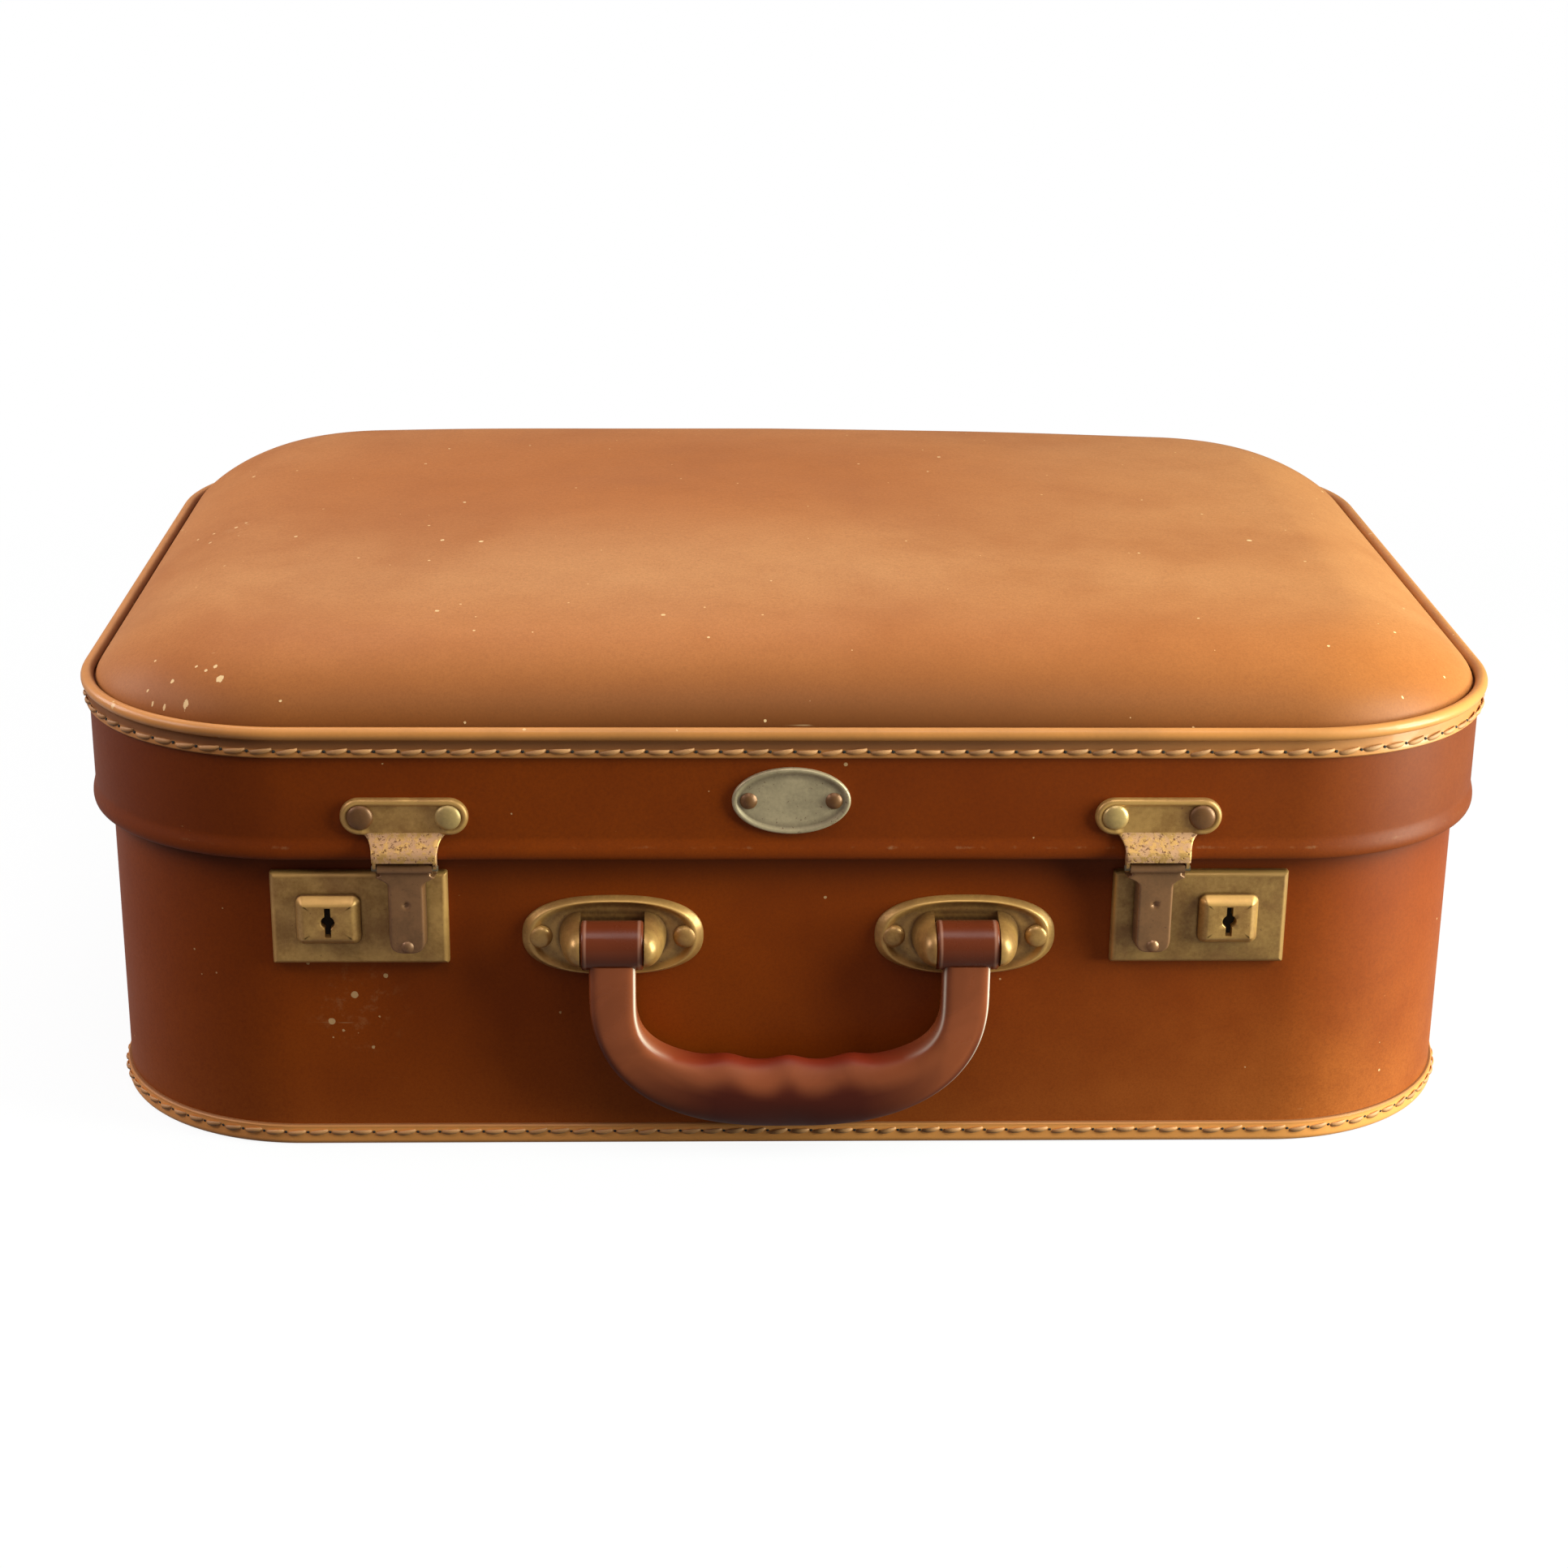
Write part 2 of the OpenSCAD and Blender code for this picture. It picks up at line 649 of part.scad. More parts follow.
// A block with sloping sides: full size at the wall, less by bevel all round at its front
module sloped_block(w, h, t, bevel) {
  intersection() {
    rotate([90, 0, 0]) linear_extrude(h, center = true)
      polygon([[-w / 2, 0], [w / 2, 0], [w / 2 - bevel, t], [bevel - w / 2, t]]);
    rotate([90, 0, 90]) linear_extrude(w, center = true)
      polygon([[-h / 2, 0], [h / 2, 0], [h / 2 - bevel, t], [bevel - h / 2, t]]);
  }
}

module lock_plate(side) color(brass) latch(side) {
  difference() {
    front(lock_mid, lock_z) sloped_block(lock_w, lock_h, lock_t, lock_bevel);
    front(lock_mid, lock_z)
      sloped_block(lock_w - 2 * sheet_t, lock_h - 2 * sheet_t, lock_t - sheet_t, lock_in_bevel);
    // Window for the button's stem, and the eye that takes the stud
    front(button_x + slide_travel / 2, lock_z)
      cube([stem_w + slide_travel + 2 * air, stem_h + 2 * air, 4 * lock_t], center = true);
    front(0, stud_z, -cut) cylinder(r = eye_r, h = lock_t + 2 * cut);
  }
  lock_tabs(0, wall_in + seat_gap + 2 * back_t);
  for (end = [-1, 1], edge = [-1, 1])
    front(lock_mid + end * tab_x, lock_z + edge * (tab_z - clinch_l / 2 + sheet_t / 2),
      -wall_in - 2 * back_t - seat_gap)
      translate([-tab_w / 2, -clinch_l / 2, 0]) cube([tab_w, clinch_l, back_t]);
}

module keyhole() {
  circle(key_r);
  square([key_slot_w, key_slot_h], center = true);
}

module lock_slide(side) color(brass) latch(side) difference() {
  union() {
    front(button_x, lock_z, lock_t + air) sloped_block(button_w, button_h, button_t - air, button_bevel);
    front(button_x, lock_z, slide_off)
      translate([-stem_w / 2, -stem_h / 2, 0]) cube([stem_w, stem_h, lock_t + 2 * air - slide_off]);
    front(0, 0, slide_off) linear_extrude(slide_t) {
      translate([button_x - slide_lead, lock_z - stem_h / 2]) square([slide_lead + slide_tail, stem_h]);
      translate([nose_gap, stud_z - nose_h / 2]) square([button_x - nose_gap, nose_h]);
      translate([button_x - slide_lead, stud_z - nose_h / 2]) square([neck_w, lock_z - stud_z]);
    }
  }
  front(button_x, lock_z, -cut) linear_extrude(lock_t + button_t + 2 * cut) keyhole();
}

// A folded leaf spring between the slide and the end of the tray
module slide_spring(side) color(steel) latch(side) {
  fold_h = stem_h / 2;
  start = slide_end + leaf_wire / 2;
  run = (spring_end - slide_end - leaf_wire) / folds;
  path = [for (i = [0 : folds]) [start + i * run, lock_z + (i % 2 == 0 ? -1 : 1) * fold_h / 2]];
  upper = [for (p = path) p + [0, leaf_wire]];
  lower = [for (i = [folds : -1 : 0]) path[i] - [0, leaf_wire]];
  front(0, 0, slide_off) linear_extrude(slide_t) polygon(concat(upper, lower));
}

module lock_backplate(side) color(steel) latch(side) difference() {
  front(lock_mid, lock_z, -wall_in - seat_gap - back_t)
    translate([back_short - lock_w / 2, -lock_h / 2 - back_lip, 0])
    cube([lock_w - 2 * back_short, lock_h + 2 * back_lip, back_t]);
  lock_tabs(fix_gap, wall_in + 4 * back_t);
}

// The hasps

// A plate with round ends and a sloping edge, standing on z = 0
module pill_plate(w, h, t, bevel) {
  rotate([90, 0, 90]) linear_extrude(w - h, center = true)
    polygon([[-h / 2, 0], [h / 2, 0], [h / 2 - bevel, t], [bevel - h / 2, t]]);
  for (end = [-1, 1])
    translate([end * (w - h) / 2, 0, 0]) cylinder(r1 = h / 2, r2 = h / 2 - bevel, h = t);
}

hood_in = hood_off - sheet_t;
ear_in = lid_off + hem_t + air;
ear_low = hasp_z - knuckle_r - air;
module hasp_plate(side) color(brass) latch(side) difference() {
  union() {
    front(0, hasp_plate_z, lid_off) pill_plate(hasp_plate_w, hasp_plate_h, hasp_plate_t, plate_bevel);
    // Hood: slopes out of the plate and turns down over the knuckle
    intersection() {
      front_profile(hood_top_w) polygon([
        [lid_off, hasp_plate_low + hood_lap], [lid_off + hasp_plate_t, hasp_plate_low + hood_lap],
        [lid_off + hasp_plate_t, hasp_plate_low], [hood_off, hood_low + hood_turn], [hood_off, hood_low],
        [hood_in, hood_low], [hood_in, hood_low + hood_lap], [lid_off, hasp_plate_low - hood_lap / 4]]);
      front(0, 0, -cut) linear_extrude(hood_off + 2 * cut) polygon([
        [-hood_w / 2, hood_low - cut], [hood_w / 2, hood_low - cut],
        [hood_top_w / 2, hasp_plate_low], [hood_top_w / 2, hasp_plate_low + hood_lap + cut],
        [-hood_top_w / 2, hasp_plate_low + hood_lap + cut], [-hood_top_w / 2, hasp_plate_low]]);
    }
    // Ears that hold the pin
    for (end = [-1, 1])
      translate([end * (hood_w - sheet_t) / 2, 0, 0]) front_profile(sheet_t) polygon([
        [ear_in, hasp_plate_low - hood_lap], [hood_in, hood_low + hood_lap],
        [hood_in, hasp_z - knuckle_r / 2], [hasp_off + knuckle_r / 2, ear_low],
        [hasp_off - knuckle_r / 2, ear_low], [ear_in, hasp_z - knuckle_r / 2]]);
  }
  front_rod(hasp_off, hasp_z, hasp_pin_r + fix_gap, hood_w + 2 * cut);
  for (end = [-1, 1]) front(end * hasp_rivet_x, hasp_plate_z) rivet_hole();
}

module hasp_pin(side) color(steel) latch(side)
  front_rod(hasp_off, hasp_z, hasp_pin_r, hood_w + 2 * pin_proud);

module strap_outline(grow) {
  translate([0, strap_z]) circle(strap_w / 2 + grow);
  translate([-strap_w / 2 - grow, strap_z]) square([strap_w + 2 * grow, hasp_z - knuckle_r - strap_z]);
}

shoulder_z = hasp_z - hasp_shoulder;
module hasp(side) color(coppery) latch(side) difference() {
  union() {
    front_rod(hasp_off, hasp_z, knuckle_r, hasp_t_w);
    front(0, 0, strap_off - sheet_t) linear_extrude(sheet_t) {
      strap_outline(0);
      polygon([[-hasp_t_w / 2, hasp_z - hasp_pin_r], [-hasp_t_w / 2, shoulder_z],
        [-strap_w / 2, shoulder_z - hasp_taper], [strap_w / 2, shoulder_z - hasp_taper],
        [hasp_t_w / 2, shoulder_z], [hasp_t_w / 2, hasp_z - hasp_pin_r]]);
    }
    // Turned sides that stand the strap off the lock plate
    front(0, 0, strap_off - strap_depth) linear_extrude(strap_depth - sheet_t / 2) difference() {
      strap_outline(0);
      strap_outline(-sheet_t);
      translate([-strap_w, shoulder_z - hasp_taper]) square([2 * strap_w, strap_w]);
    }
  }
  front_rod(hasp_off, hasp_z, hasp_pin_r + run_gap, hasp_t_w + 2 * cut);
  front(0, dimple_z, strap_off - sheet_t / 2) cylinder(r = dimple_r, h = sheet_t);
  front(0, stud_z) cylinder(r = shank_r + fix_gap, h = 2 * strap_off);
}

// The stud: a domed head outside and a catch behind the strap
module hasp_stud(side) color(coppery) latch(side) front(0, stud_z, strap_off) {
  length = strap_off - stud_tip_off;
  head_h = stud_head_r * dome_share;
  ball_r = (stud_head_r * stud_head_r + head_h * head_h) / (2 * head_h);
  rotate_extrude() {
    intersection() {
      translate([0, head_h - ball_r]) circle(ball_r);
      square([stud_head_r, head_h]);
    }
    translate([0, -length]) square([shank_r, length]);
    translate([0, -length]) square([stud_head_r, sheet_t]);
  }
}

module hasp_plate_rivets() color(brass) hasp_rivet_places()
  front(0, hasp_plate_z, lid_off + hasp_plate_t)
    rivet(hasp_head_r, hasp_plate_t + fibre_t + seat_gap + lining_t);

// The handle

// Half outline of a dome along its axis: flat at the window, round at its far end
module dome_profile(l, r) {
  square([l, r - l]);
  intersection() {
    translate([0, r - l]) circle(l);
    square([l, r]);
  }
}

// A dome over one end of the pin: round in front, straight down to the wall
module dome(shrink) {
  l = dome_end - 2 * shrink;
  r = dome_r - shrink;
  translate([window_w / 2 + shrink, 0, 0]) {
    front(0, handle_z) linear_extrude(handle_pin_off) {
      dome_profile(l, r);
      mirror([0, 1]) dome_profile(l, r);
    }
    translate([0, -(case_d / 2 + handle_pin_off), handle_z]) rotate([0, 90, 0])
      rotate_extrude() mirror([1, -1]) dome_profile(l, r);
  }
}

module handle_bracket(side) color(brass) bracket_place(side) difference() {
  union() {
    front(0, handle_z) {
      linear_extrude(bracket_t) oval(bracket_w, bracket_h);
      linear_extrude(bracket_t + rim_h) difference() {
        oval(bracket_w, bracket_h);
        oval(bracket_w - 2 * rim_w, bracket_h - 2 * rim_w);
      }
    }
    dome(0);
    mirror([1, 0, 0]) dome(0);
  }
  dome(bracket_t);
  mirror([1, 0, 0]) dome(bracket_t);
  front(0, handle_z) cube([window_w, 2 * barrel_r + 4 * air, 8 * handle_pin_off], center = true);
  front_rod(handle_pin_off, handle_z, handle_pin_r + fix_gap, window_w + 2 * bracket_t + 2 * pin_proud + cut);
  translate([-bracket_w, -case_d / 2, 0]) cube([2 * bracket_w, case_d, lip_z]);
  for (end = [-1, 1]) front(end * bracket_rivet_x, handle_z) rivet_hole();
}

module handle_pin(side) color(steel) bracket_place(side)
  front_rod(handle_pin_off, handle_z, handle_pin_r, window_w + 2 * bracket_t + 2 * pin_proud);

// The handle's outer and inner outlines are half superellipses that hang from the arms;
// a section joins a point of each, as deep as the arm or the grip
outer_power = 2.3;
inner_power = 3.4;
section_power = 2.8;
section_steps = 20;
turn_step = 5;
// Raises the size of a number to a power and keeps its sign
function signed_pow(v, e) = sign(v) * pow(abs(v), e);
// The finger ridges on the inner edge of the grip
function bump(x) = ridge_h * exp(-pow(x / ridge_w, 2));
function ridge(x) = bump(x) + bump(x - ridge_gap) + bump(x + ridge_gap);
function handle_section(mid, half, depth) = [for (k = [0 : section_steps - 1])
  let (a = 360 * k / section_steps, c = signed_pow(cos(a), 2 / section_power),
    s = signed_pow(sin(a), 2 / section_power))
  [mid[0] + half[0] * c, depth / 2 * s, mid[1] + half[1] * c]];
// The section at turn u, from 0 at one arm to 180 at the other
function handle_ring(u) = let (
    share = cos(u), a = acos(signed_pow(share, inner_power / 2)),
    outer_x = -outer_a * signed_pow(cos(a), 2 / outer_power),
    outer = [outer_x, arm_z - outer_b * pow(sin(a), 2 / outer_power)],
    inner_x = -inner_a * share,
    inner = [inner_x, arm_z - inner_b * pow(sin(a), 2 / inner_power) + ridge(inner_x)],
    depth = arm_depth + (grip_depth - arm_depth) * sin(u))
  handle_section((outer + inner) / 2, (outer - inner) / 2, depth);
// The section where an arm meets its barrel
function arm_ring(side) = let (mid = [side * handle_pitch / 2, handle_z - handle_pin_r])
  handle_section(mid, [side * arm_w / 2, 0], 2 * barrel_r - cut);

module handle() color(handle_red) translate([handle_shift, 0, 0]) difference() {
  union() {
    translate([0, -(case_d / 2 + handle_pin_off), 0]) {
      bow = [for (u = [0 : turn_step : 180]) handle_ring(u)];
      rings = concat([arm_ring(-1)], bow, [arm_ring(1)]);
      n = section_steps;
      last = len(rings) - 1;
      walls = [for (i = [0 : last - 1]) each band_faces(i, i + 1, n)];
      ends = [[for (k = [0 : n - 1]) k], [for (k = [n - 1 : -1 : 0]) last * n + k]];
      polyhedron([for (ring = rings) each ring], concat(walls, ends), convexity = 4);
    }
    for (side = [-1, 1])
      translate([side * handle_pitch / 2, 0, 0]) front_rod(handle_pin_off, handle_z, barrel_r, handle_mouth);
  }
  for (side = [-1, 1])
    translate([side * handle_pitch / 2, 0, 0])
      front_rod(handle_pin_off, handle_z, handle_pin_r + run_gap, handle_mouth + 2 * cut);
}

module handle_rivets() color(brass) handle_rivet_places()
  front(0, handle_z, bracket_t) rivet(bracket_head_r, bracket_t + fibre_t + seat_gap + lining_t);

// The badge

module badge() color(badge_grey) front(handle_shift, lip_z + badge_rise, lid_off) difference() {
  union() {
    linear_extrude(badge_t) oval(badge_w, badge_h);
    linear_extrude(badge_t + badge_rim_h) difference() {
      oval(badge_w, badge_h);
      oval(badge_w - 2 * badge_rim_w, badge_h - 2 * badge_rim_w);
    }
  }
  for (end = [-1, 1])
    translate([end * badge_rivet_x, 0, -cut])
      cylinder(r = shank_r + fix_gap, h = badge_t + 2 * cut);
}

module badge_rivets() color(brass) badge_rivet_places()
  front(0, lip_z + badge_rise, lid_off + badge_t)
    rivet(badge_head_r, badge_t + fibre_t + seat_gap + lining_t);

// The hinges

module hinge_lid_leaf(side) color(brass) hinge_place(side) difference() {
  jog = hinge_off - hinge_r;
  jog_z = lip_z + hem_h + leaf_t;
  leaf_end = hinge_lid_rivet_z + leaf_margin;
  union() {
    back_profile(hinge_w) polygon([
      [lid_off, leaf_end], [lid_off, jog_z + 2 * air], [jog, jog_z - leaf_t],
      [jog, lip_z], [jog + leaf_t, lip_z], [jog + leaf_t, jog_z - leaf_t / 2],
      [lid_off + leaf_t, jog_z + 4 * air], [lid_off + leaf_t, leaf_end]]);
    back_profile(hinge_third - 2 * air)
      polygon([[jog, lip_z + air], [jog, hinge_z], [jog + leaf_t, hinge_z], [jog + leaf_t, lip_z + air]]);
    back_rod(hinge_off, hinge_z, hinge_r, hinge_third - 2 * air);
  }
  back_rod(hinge_off, hinge_z, hinge_pin_r + run_gap, hinge_w);
  for (end = [-1, 1]) back(end * leaf_rivet_x, hinge_lid_rivet_z) rivet_hole();
}

module hinge_base_leaf(side) color(brass) hinge_place(side) difference() {
  union() {
    back_profile(hinge_w) polygon([
      [0, leaf_top - leaf_drop], [leaf_t, leaf_top - leaf_drop], [leaf_t, leaf_top], [0, leaf_top]]);
    for (end = [-1, 1]) translate([end * hinge_third, 0, 0]) {
      back_profile(hinge_third) polygon([
        [0, leaf_top - leaf_t], [leaf_t, leaf_top - leaf_t], [hinge_off, hinge_z - hinge_r],
        [hinge_off - hinge_r / 2, hinge_z - hinge_r / 2], [0, leaf_top + leaf_t]]);
      back_rod(hinge_off, hinge_z, hinge_r, hinge_third);
    }
  }
  back_rod(hinge_off, hinge_z, hinge_pin_r + fix_gap, hinge_w + 2 * cut);
  for (end = [-1, 1]) back(end * leaf_rivet_x, hinge_base_rivet_z) rivet_hole();
}

module hinge_pin(side) color(steel) hinge_place(side)
  back_rod(hinge_off, hinge_z, hinge_pin_r, hinge_w + 2 * pin_proud);

module hinge_lid_rivets() color(brass) leaf_rivet_places()
  back(0, hinge_lid_rivet_z, lid_off + leaf_t) rivet(bracket_head_r, leaf_t + fibre_t + seat_gap + lining_t);

module hinge_base_rivets() color(brass) leaf_rivet_places()
  back(0, hinge_base_rivet_z, leaf_t) rivet(bracket_head_r, leaf_t + fibre_t + seat_gap + lining_t);

base_band();
base_panel();
base_welt();
base_lining();
lid_band();
lid_panel();
lid_welt();
lid_lining();
lock_plate(-1);  // left_lock_plate
lock_slide(-1);  // left_lock_slide
slide_spring(-1);  // left_slide_spring
lock_backplate(-1);  // left_lock_backplate
lock_plate(1);  // right_lock_plate
lock_slide(1);  // right_lock_slide
slide_spring(1);  // right_slide_spring
lock_backplate(1);  // right_lock_backplate
hasp_plate(-1);  // left_hasp_plate
hasp_pin(-1);  // left_hasp_pin
hasp(-1);  // left_hasp
hasp_stud(-1);  // left_hasp_stud
hasp_plate(1);  // right_hasp_plate
hasp_pin(1);  // right_hasp_pin
hasp(1);  // right_hasp
hasp_stud(1);  // right_hasp_stud
hasp_plate_rivets();
handle_bracket(-1);  // left_handle_bracket
handle_pin(-1);  // left_handle_pin
handle_bracket(1);  // right_handle_bracket
handle_pin(1);  // right_handle_pin
handle();
handle_rivets();
badge();
badge_rivets();
hinge_lid_leaf(-1);  // left_hinge_lid_leaf
hinge_base_leaf(-1);  // left_hinge_base_leaf
hinge_pin(-1);  // left_hinge_pin
hinge_lid_leaf(1);  // right_hinge_lid_leaf
hinge_base_leaf(1);  // right_hinge_base_leaf
hinge_pin(1);  // right_hinge_pin
hinge_lid_rivets();
hinge_base_rivets();
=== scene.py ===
"""Dresses the fibre suitcase: its crowned lid panel, walls, sewn welts, locks, handle and stage."""

import json
import math

import bpy
import numpy as np
from mathutils import Matrix, Vector


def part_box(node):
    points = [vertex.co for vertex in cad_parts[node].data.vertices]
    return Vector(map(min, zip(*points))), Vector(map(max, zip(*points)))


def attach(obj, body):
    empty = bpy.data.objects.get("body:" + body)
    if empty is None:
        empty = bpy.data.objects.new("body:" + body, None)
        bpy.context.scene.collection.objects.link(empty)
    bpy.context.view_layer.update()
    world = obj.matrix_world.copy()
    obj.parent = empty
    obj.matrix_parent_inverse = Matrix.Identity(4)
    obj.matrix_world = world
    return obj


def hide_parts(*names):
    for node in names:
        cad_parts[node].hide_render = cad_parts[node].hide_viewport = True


bl_info = {
    "name": "Fibre suitcase",
    "version": (1, 0, 0),
    "blender": (4, 5, 0),
    "location": "View3D > Sidebar > Suitcase",
    "description": "Builds the visible surfaces and finishes of a sewn fibre suitcase on its frame",
    "category": "Object",
}

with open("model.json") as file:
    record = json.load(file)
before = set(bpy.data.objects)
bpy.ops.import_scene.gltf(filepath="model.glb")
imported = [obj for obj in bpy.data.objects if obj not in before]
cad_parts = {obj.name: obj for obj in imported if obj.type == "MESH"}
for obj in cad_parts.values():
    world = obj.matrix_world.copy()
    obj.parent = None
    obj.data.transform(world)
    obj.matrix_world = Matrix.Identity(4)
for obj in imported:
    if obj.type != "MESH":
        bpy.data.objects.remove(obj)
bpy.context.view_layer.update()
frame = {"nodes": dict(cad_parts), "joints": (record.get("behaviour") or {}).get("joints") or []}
NODES = frame["nodes"]
MM = 0.001

# Sizes read from the frame, in metres
WALL_LO, WALL_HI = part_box("base_band")
LID_LO, LID_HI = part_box("lid_band")
PANEL_LO, PANEL_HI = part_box("lid_panel")
LID_WELT_LO, LID_WELT_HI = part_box("lid_welt")
BASE_WELT_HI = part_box("base_welt")[1]
HANDLE_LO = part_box("handle")[0]
HALF_W = WALL_HI.x
HALF_D = WALL_HI.y
SIDES = {"left": -1, "right": 1}
JOINTS = {joint["name"]: joint for joint in frame["joints"]}

# Chips in the lacquer of the lid panel: x, y and radius in millimetres
PANEL_CHIPS = [(-171, -151, 1.1), (-173, -146, 0.6), (-179, -144, 0.4), (-186, -146, 0.55),
               (-193, -134, 0.35), (-194, -144, 0.35), (-192, -148, 0.35), (-188, -151, 0.45),
               (-181, -154, 0.8), (-186, -12, 0.6), (-183, -9, 0.5), (-194, -10, 0.5), (-163, -33, 0.6),
               (-113, -46, 0.8), (-109, -117, 0.7), (126, -121, 0.5), (184, -151, 0.35)]

# Distance of each lock button from its hasp and its half width, in metres
BUTTONS = {"left": (24 * MM, 9.9 * MM), "right": (23.3 * MM, 9.2 * MM)}
# Painted shade on each lock plate: the right one is darker
LOCK_SHADE = {"left": 0.0, "right": 0.38}

# Linear colours of the pale lines on the handle, a painted highlight along the arms' edges and worn lines
# near the barrels' ends, of the unlit hollows and the dust in them, and of what the floor and the
# surroundings throw back on the case
RUBBED_AND_HIGHLIT_PLASTIC = (0.95, 0.8, 0.66)
HOLLOW = (0.01, 0.008, 0.006)
HOLLOW_DUST = (0.03, 0.022, 0.015)
FLOOR_LIGHT = (0.1, 0.09, 0.08)
SKY_LIGHT = (0.075, 0.075, 0.075)
WHITE = (1.0, 1.0, 1.0)

# Share of the white surroundings that shows in metal and gloss
MIRRORED = 0.2
# Tint of the lamps on the right
SIDE_TINT = (0.93, 1.08, 0.95)
# Name, place, aim, size, power and colour of each lamp
LAMPS = [
    ("key", (-0.2, 0.8, 1.35), (0.0, 0.0, 0.15), (1.1, 1.1), 6.8, WHITE),
    ("left", (-0.85, 0.15, 0.46), (-0.18, 0.0, 0.14), (0.4, 0.4), 2.4, WHITE),
    ("top", (0.1, -0.65, 1.35), (0.0, -0.14, 0.1), (0.6, 0.6), 4.0, WHITE),
    ("sky", (0.0, -0.25, 1.9), (0.0, -0.1, 0.1), (2.2, 2.2), 8.2, WHITE),
    ("side", (0.8, -0.38, 0.46), (0.1, -0.16, 0.08), (0.4, 0.4), 9.4, SIDE_TINT),
    ("bounce", (0.75, -0.32, 0.12), (0.15, -0.16, 0.05), (0.3, 0.2), 5.2, SIDE_TINT),
    ("fill", (-0.95, -0.4, 0.75), (-0.18, -0.12, 0.12), (0.5, 0.5), 4.6, WHITE),
]


def joint_point(name):
    """The place of a joint's axis at rest."""
    return Vector(JOINTS[name]["pos_m"])


def linear(red, green, blue):
    """A colour given as 8-bit screen values, as linear light."""
    screen = np.array([red, green, blue]) / 255
    light = np.where(screen <= 0.04045, screen / 12.92, ((screen + 0.055) / 1.055) ** 2.4)
    return tuple(float(v) for v in light)


def tinted(tone, share):
    """A colour made darker, or lighter up to white."""
    return tuple(min(v * share, 1) for v in tone)


def length(name, about, default):
    """A length property in metres."""
    return bpy.props.FloatProperty(name=name, description=about, default=default,
                                   subtype="DISTANCE", unit="LENGTH")


def angle(name, about, degrees):
    """An angle property, given in degrees."""
    return bpy.props.FloatProperty(name=name, description=about, default=math.radians(degrees),
                                   subtype="ANGLE")


def colour(name, about, default):
    """A colour property, given as 8-bit screen values."""
    return bpy.props.FloatVectorProperty(name=name, description=about, default=linear(*default),
                                         subtype="COLOR", size=3, min=0, max=1)


class CaseSizes(bpy.types.PropertyGroup):
    """Sizes of the walls, the crowned panel and the sewn welts"""
    corner_r: length("Corner radius", "Radius of the upright corners of the base", 63 * MM)
    fibre_t: length("Fibre", "Thickness of the fibre sheet", 2.2 * MM)
    hem_h: length("Hem height", "Height of the rolled hem along the lid's lower edge", 5 * MM)
    hem_t: length("Hem bulge", "How far the rolled hem stands out of the lid's wall", 0.9 * MM)
    shoulder_w: length("Shoulder width", "Width of the rounded shoulder of the lid panel", 40 * MM)
    shoulder_h: length("Shoulder rise", "Rise of the shoulder above the panel's edge", 20.5 * MM)
    crown_h: length("Crown", "Further rise of the panel in its middle", 10 * MM)
    bead_r: length("Piping radius", "Radius of the piping on the welts", 2 * MM)
    strip_t: length("Strip thickness", "Thickness of the sewn strips of the welts", 1.2 * MM)
    wave_h: length("Waviness", "Height of the slow waves of the old fibre", 0.35 * MM)
    sag_h: length("Sag", "How far the panel has sunk at its right back corner", 2.4 * MM)
    side_ease: bpy.props.FloatProperty(name="Side ease", default=0.45,
                                       description="How much flatter the shoulder is along the two sides")


class StitchSizes(bpy.types.PropertyGroup):
    """Sizes of the sewing along the two welts"""
    lid_pitch: length("Lid pitch", "Distance between stitches along the lid's welt", 7.3 * MM)
    base_pitch: length("Base pitch", "Distance between stitches along the base's welt", 6.8 * MM)
    thread_r: length("Thread", "Radius of the sewing thread", 0.55 * MM)
    slant: angle("Slant", "Slant of each stitch along the seam", 6)


class HandleSizes(bpy.types.PropertyGroup):
    """Sizes of the moulded handle"""
    pitch: length("Pitch", "Distance between the middles of the two barrels", 107.6 * MM)
    barrel_r: length("Barrel radius", "Radius of the barrels around the pins", 7.5 * MM)
    barrel_w: length("Barrel width", "Width of a barrel between the domes of its bracket", 18.9 * MM)
    arm_w: length("Arm width", "Width of the arms", 14.2 * MM)
    arm_l: length("Arm length", "Length of the straight part of an arm", 15 * MM)
    arm_depth: length("Arm depth", "Depth of the arms from front to back", 12 * MM)
    grip_depth: length("Grip depth", "Depth of the grip from front to back", 14 * MM)
    grip_h: length("Grip height", "Height of the grip in its middle", 22.2 * MM)
    ridge_h: length("Ridge height", "Height of the three finger ridges", 1.6 * MM)
    ridge_gap: length("Ridge spacing", "Distance between the finger ridges", 19 * MM)
    ridge_w: length("Ridge width", "Half width of a finger ridge", 5.2 * MM)


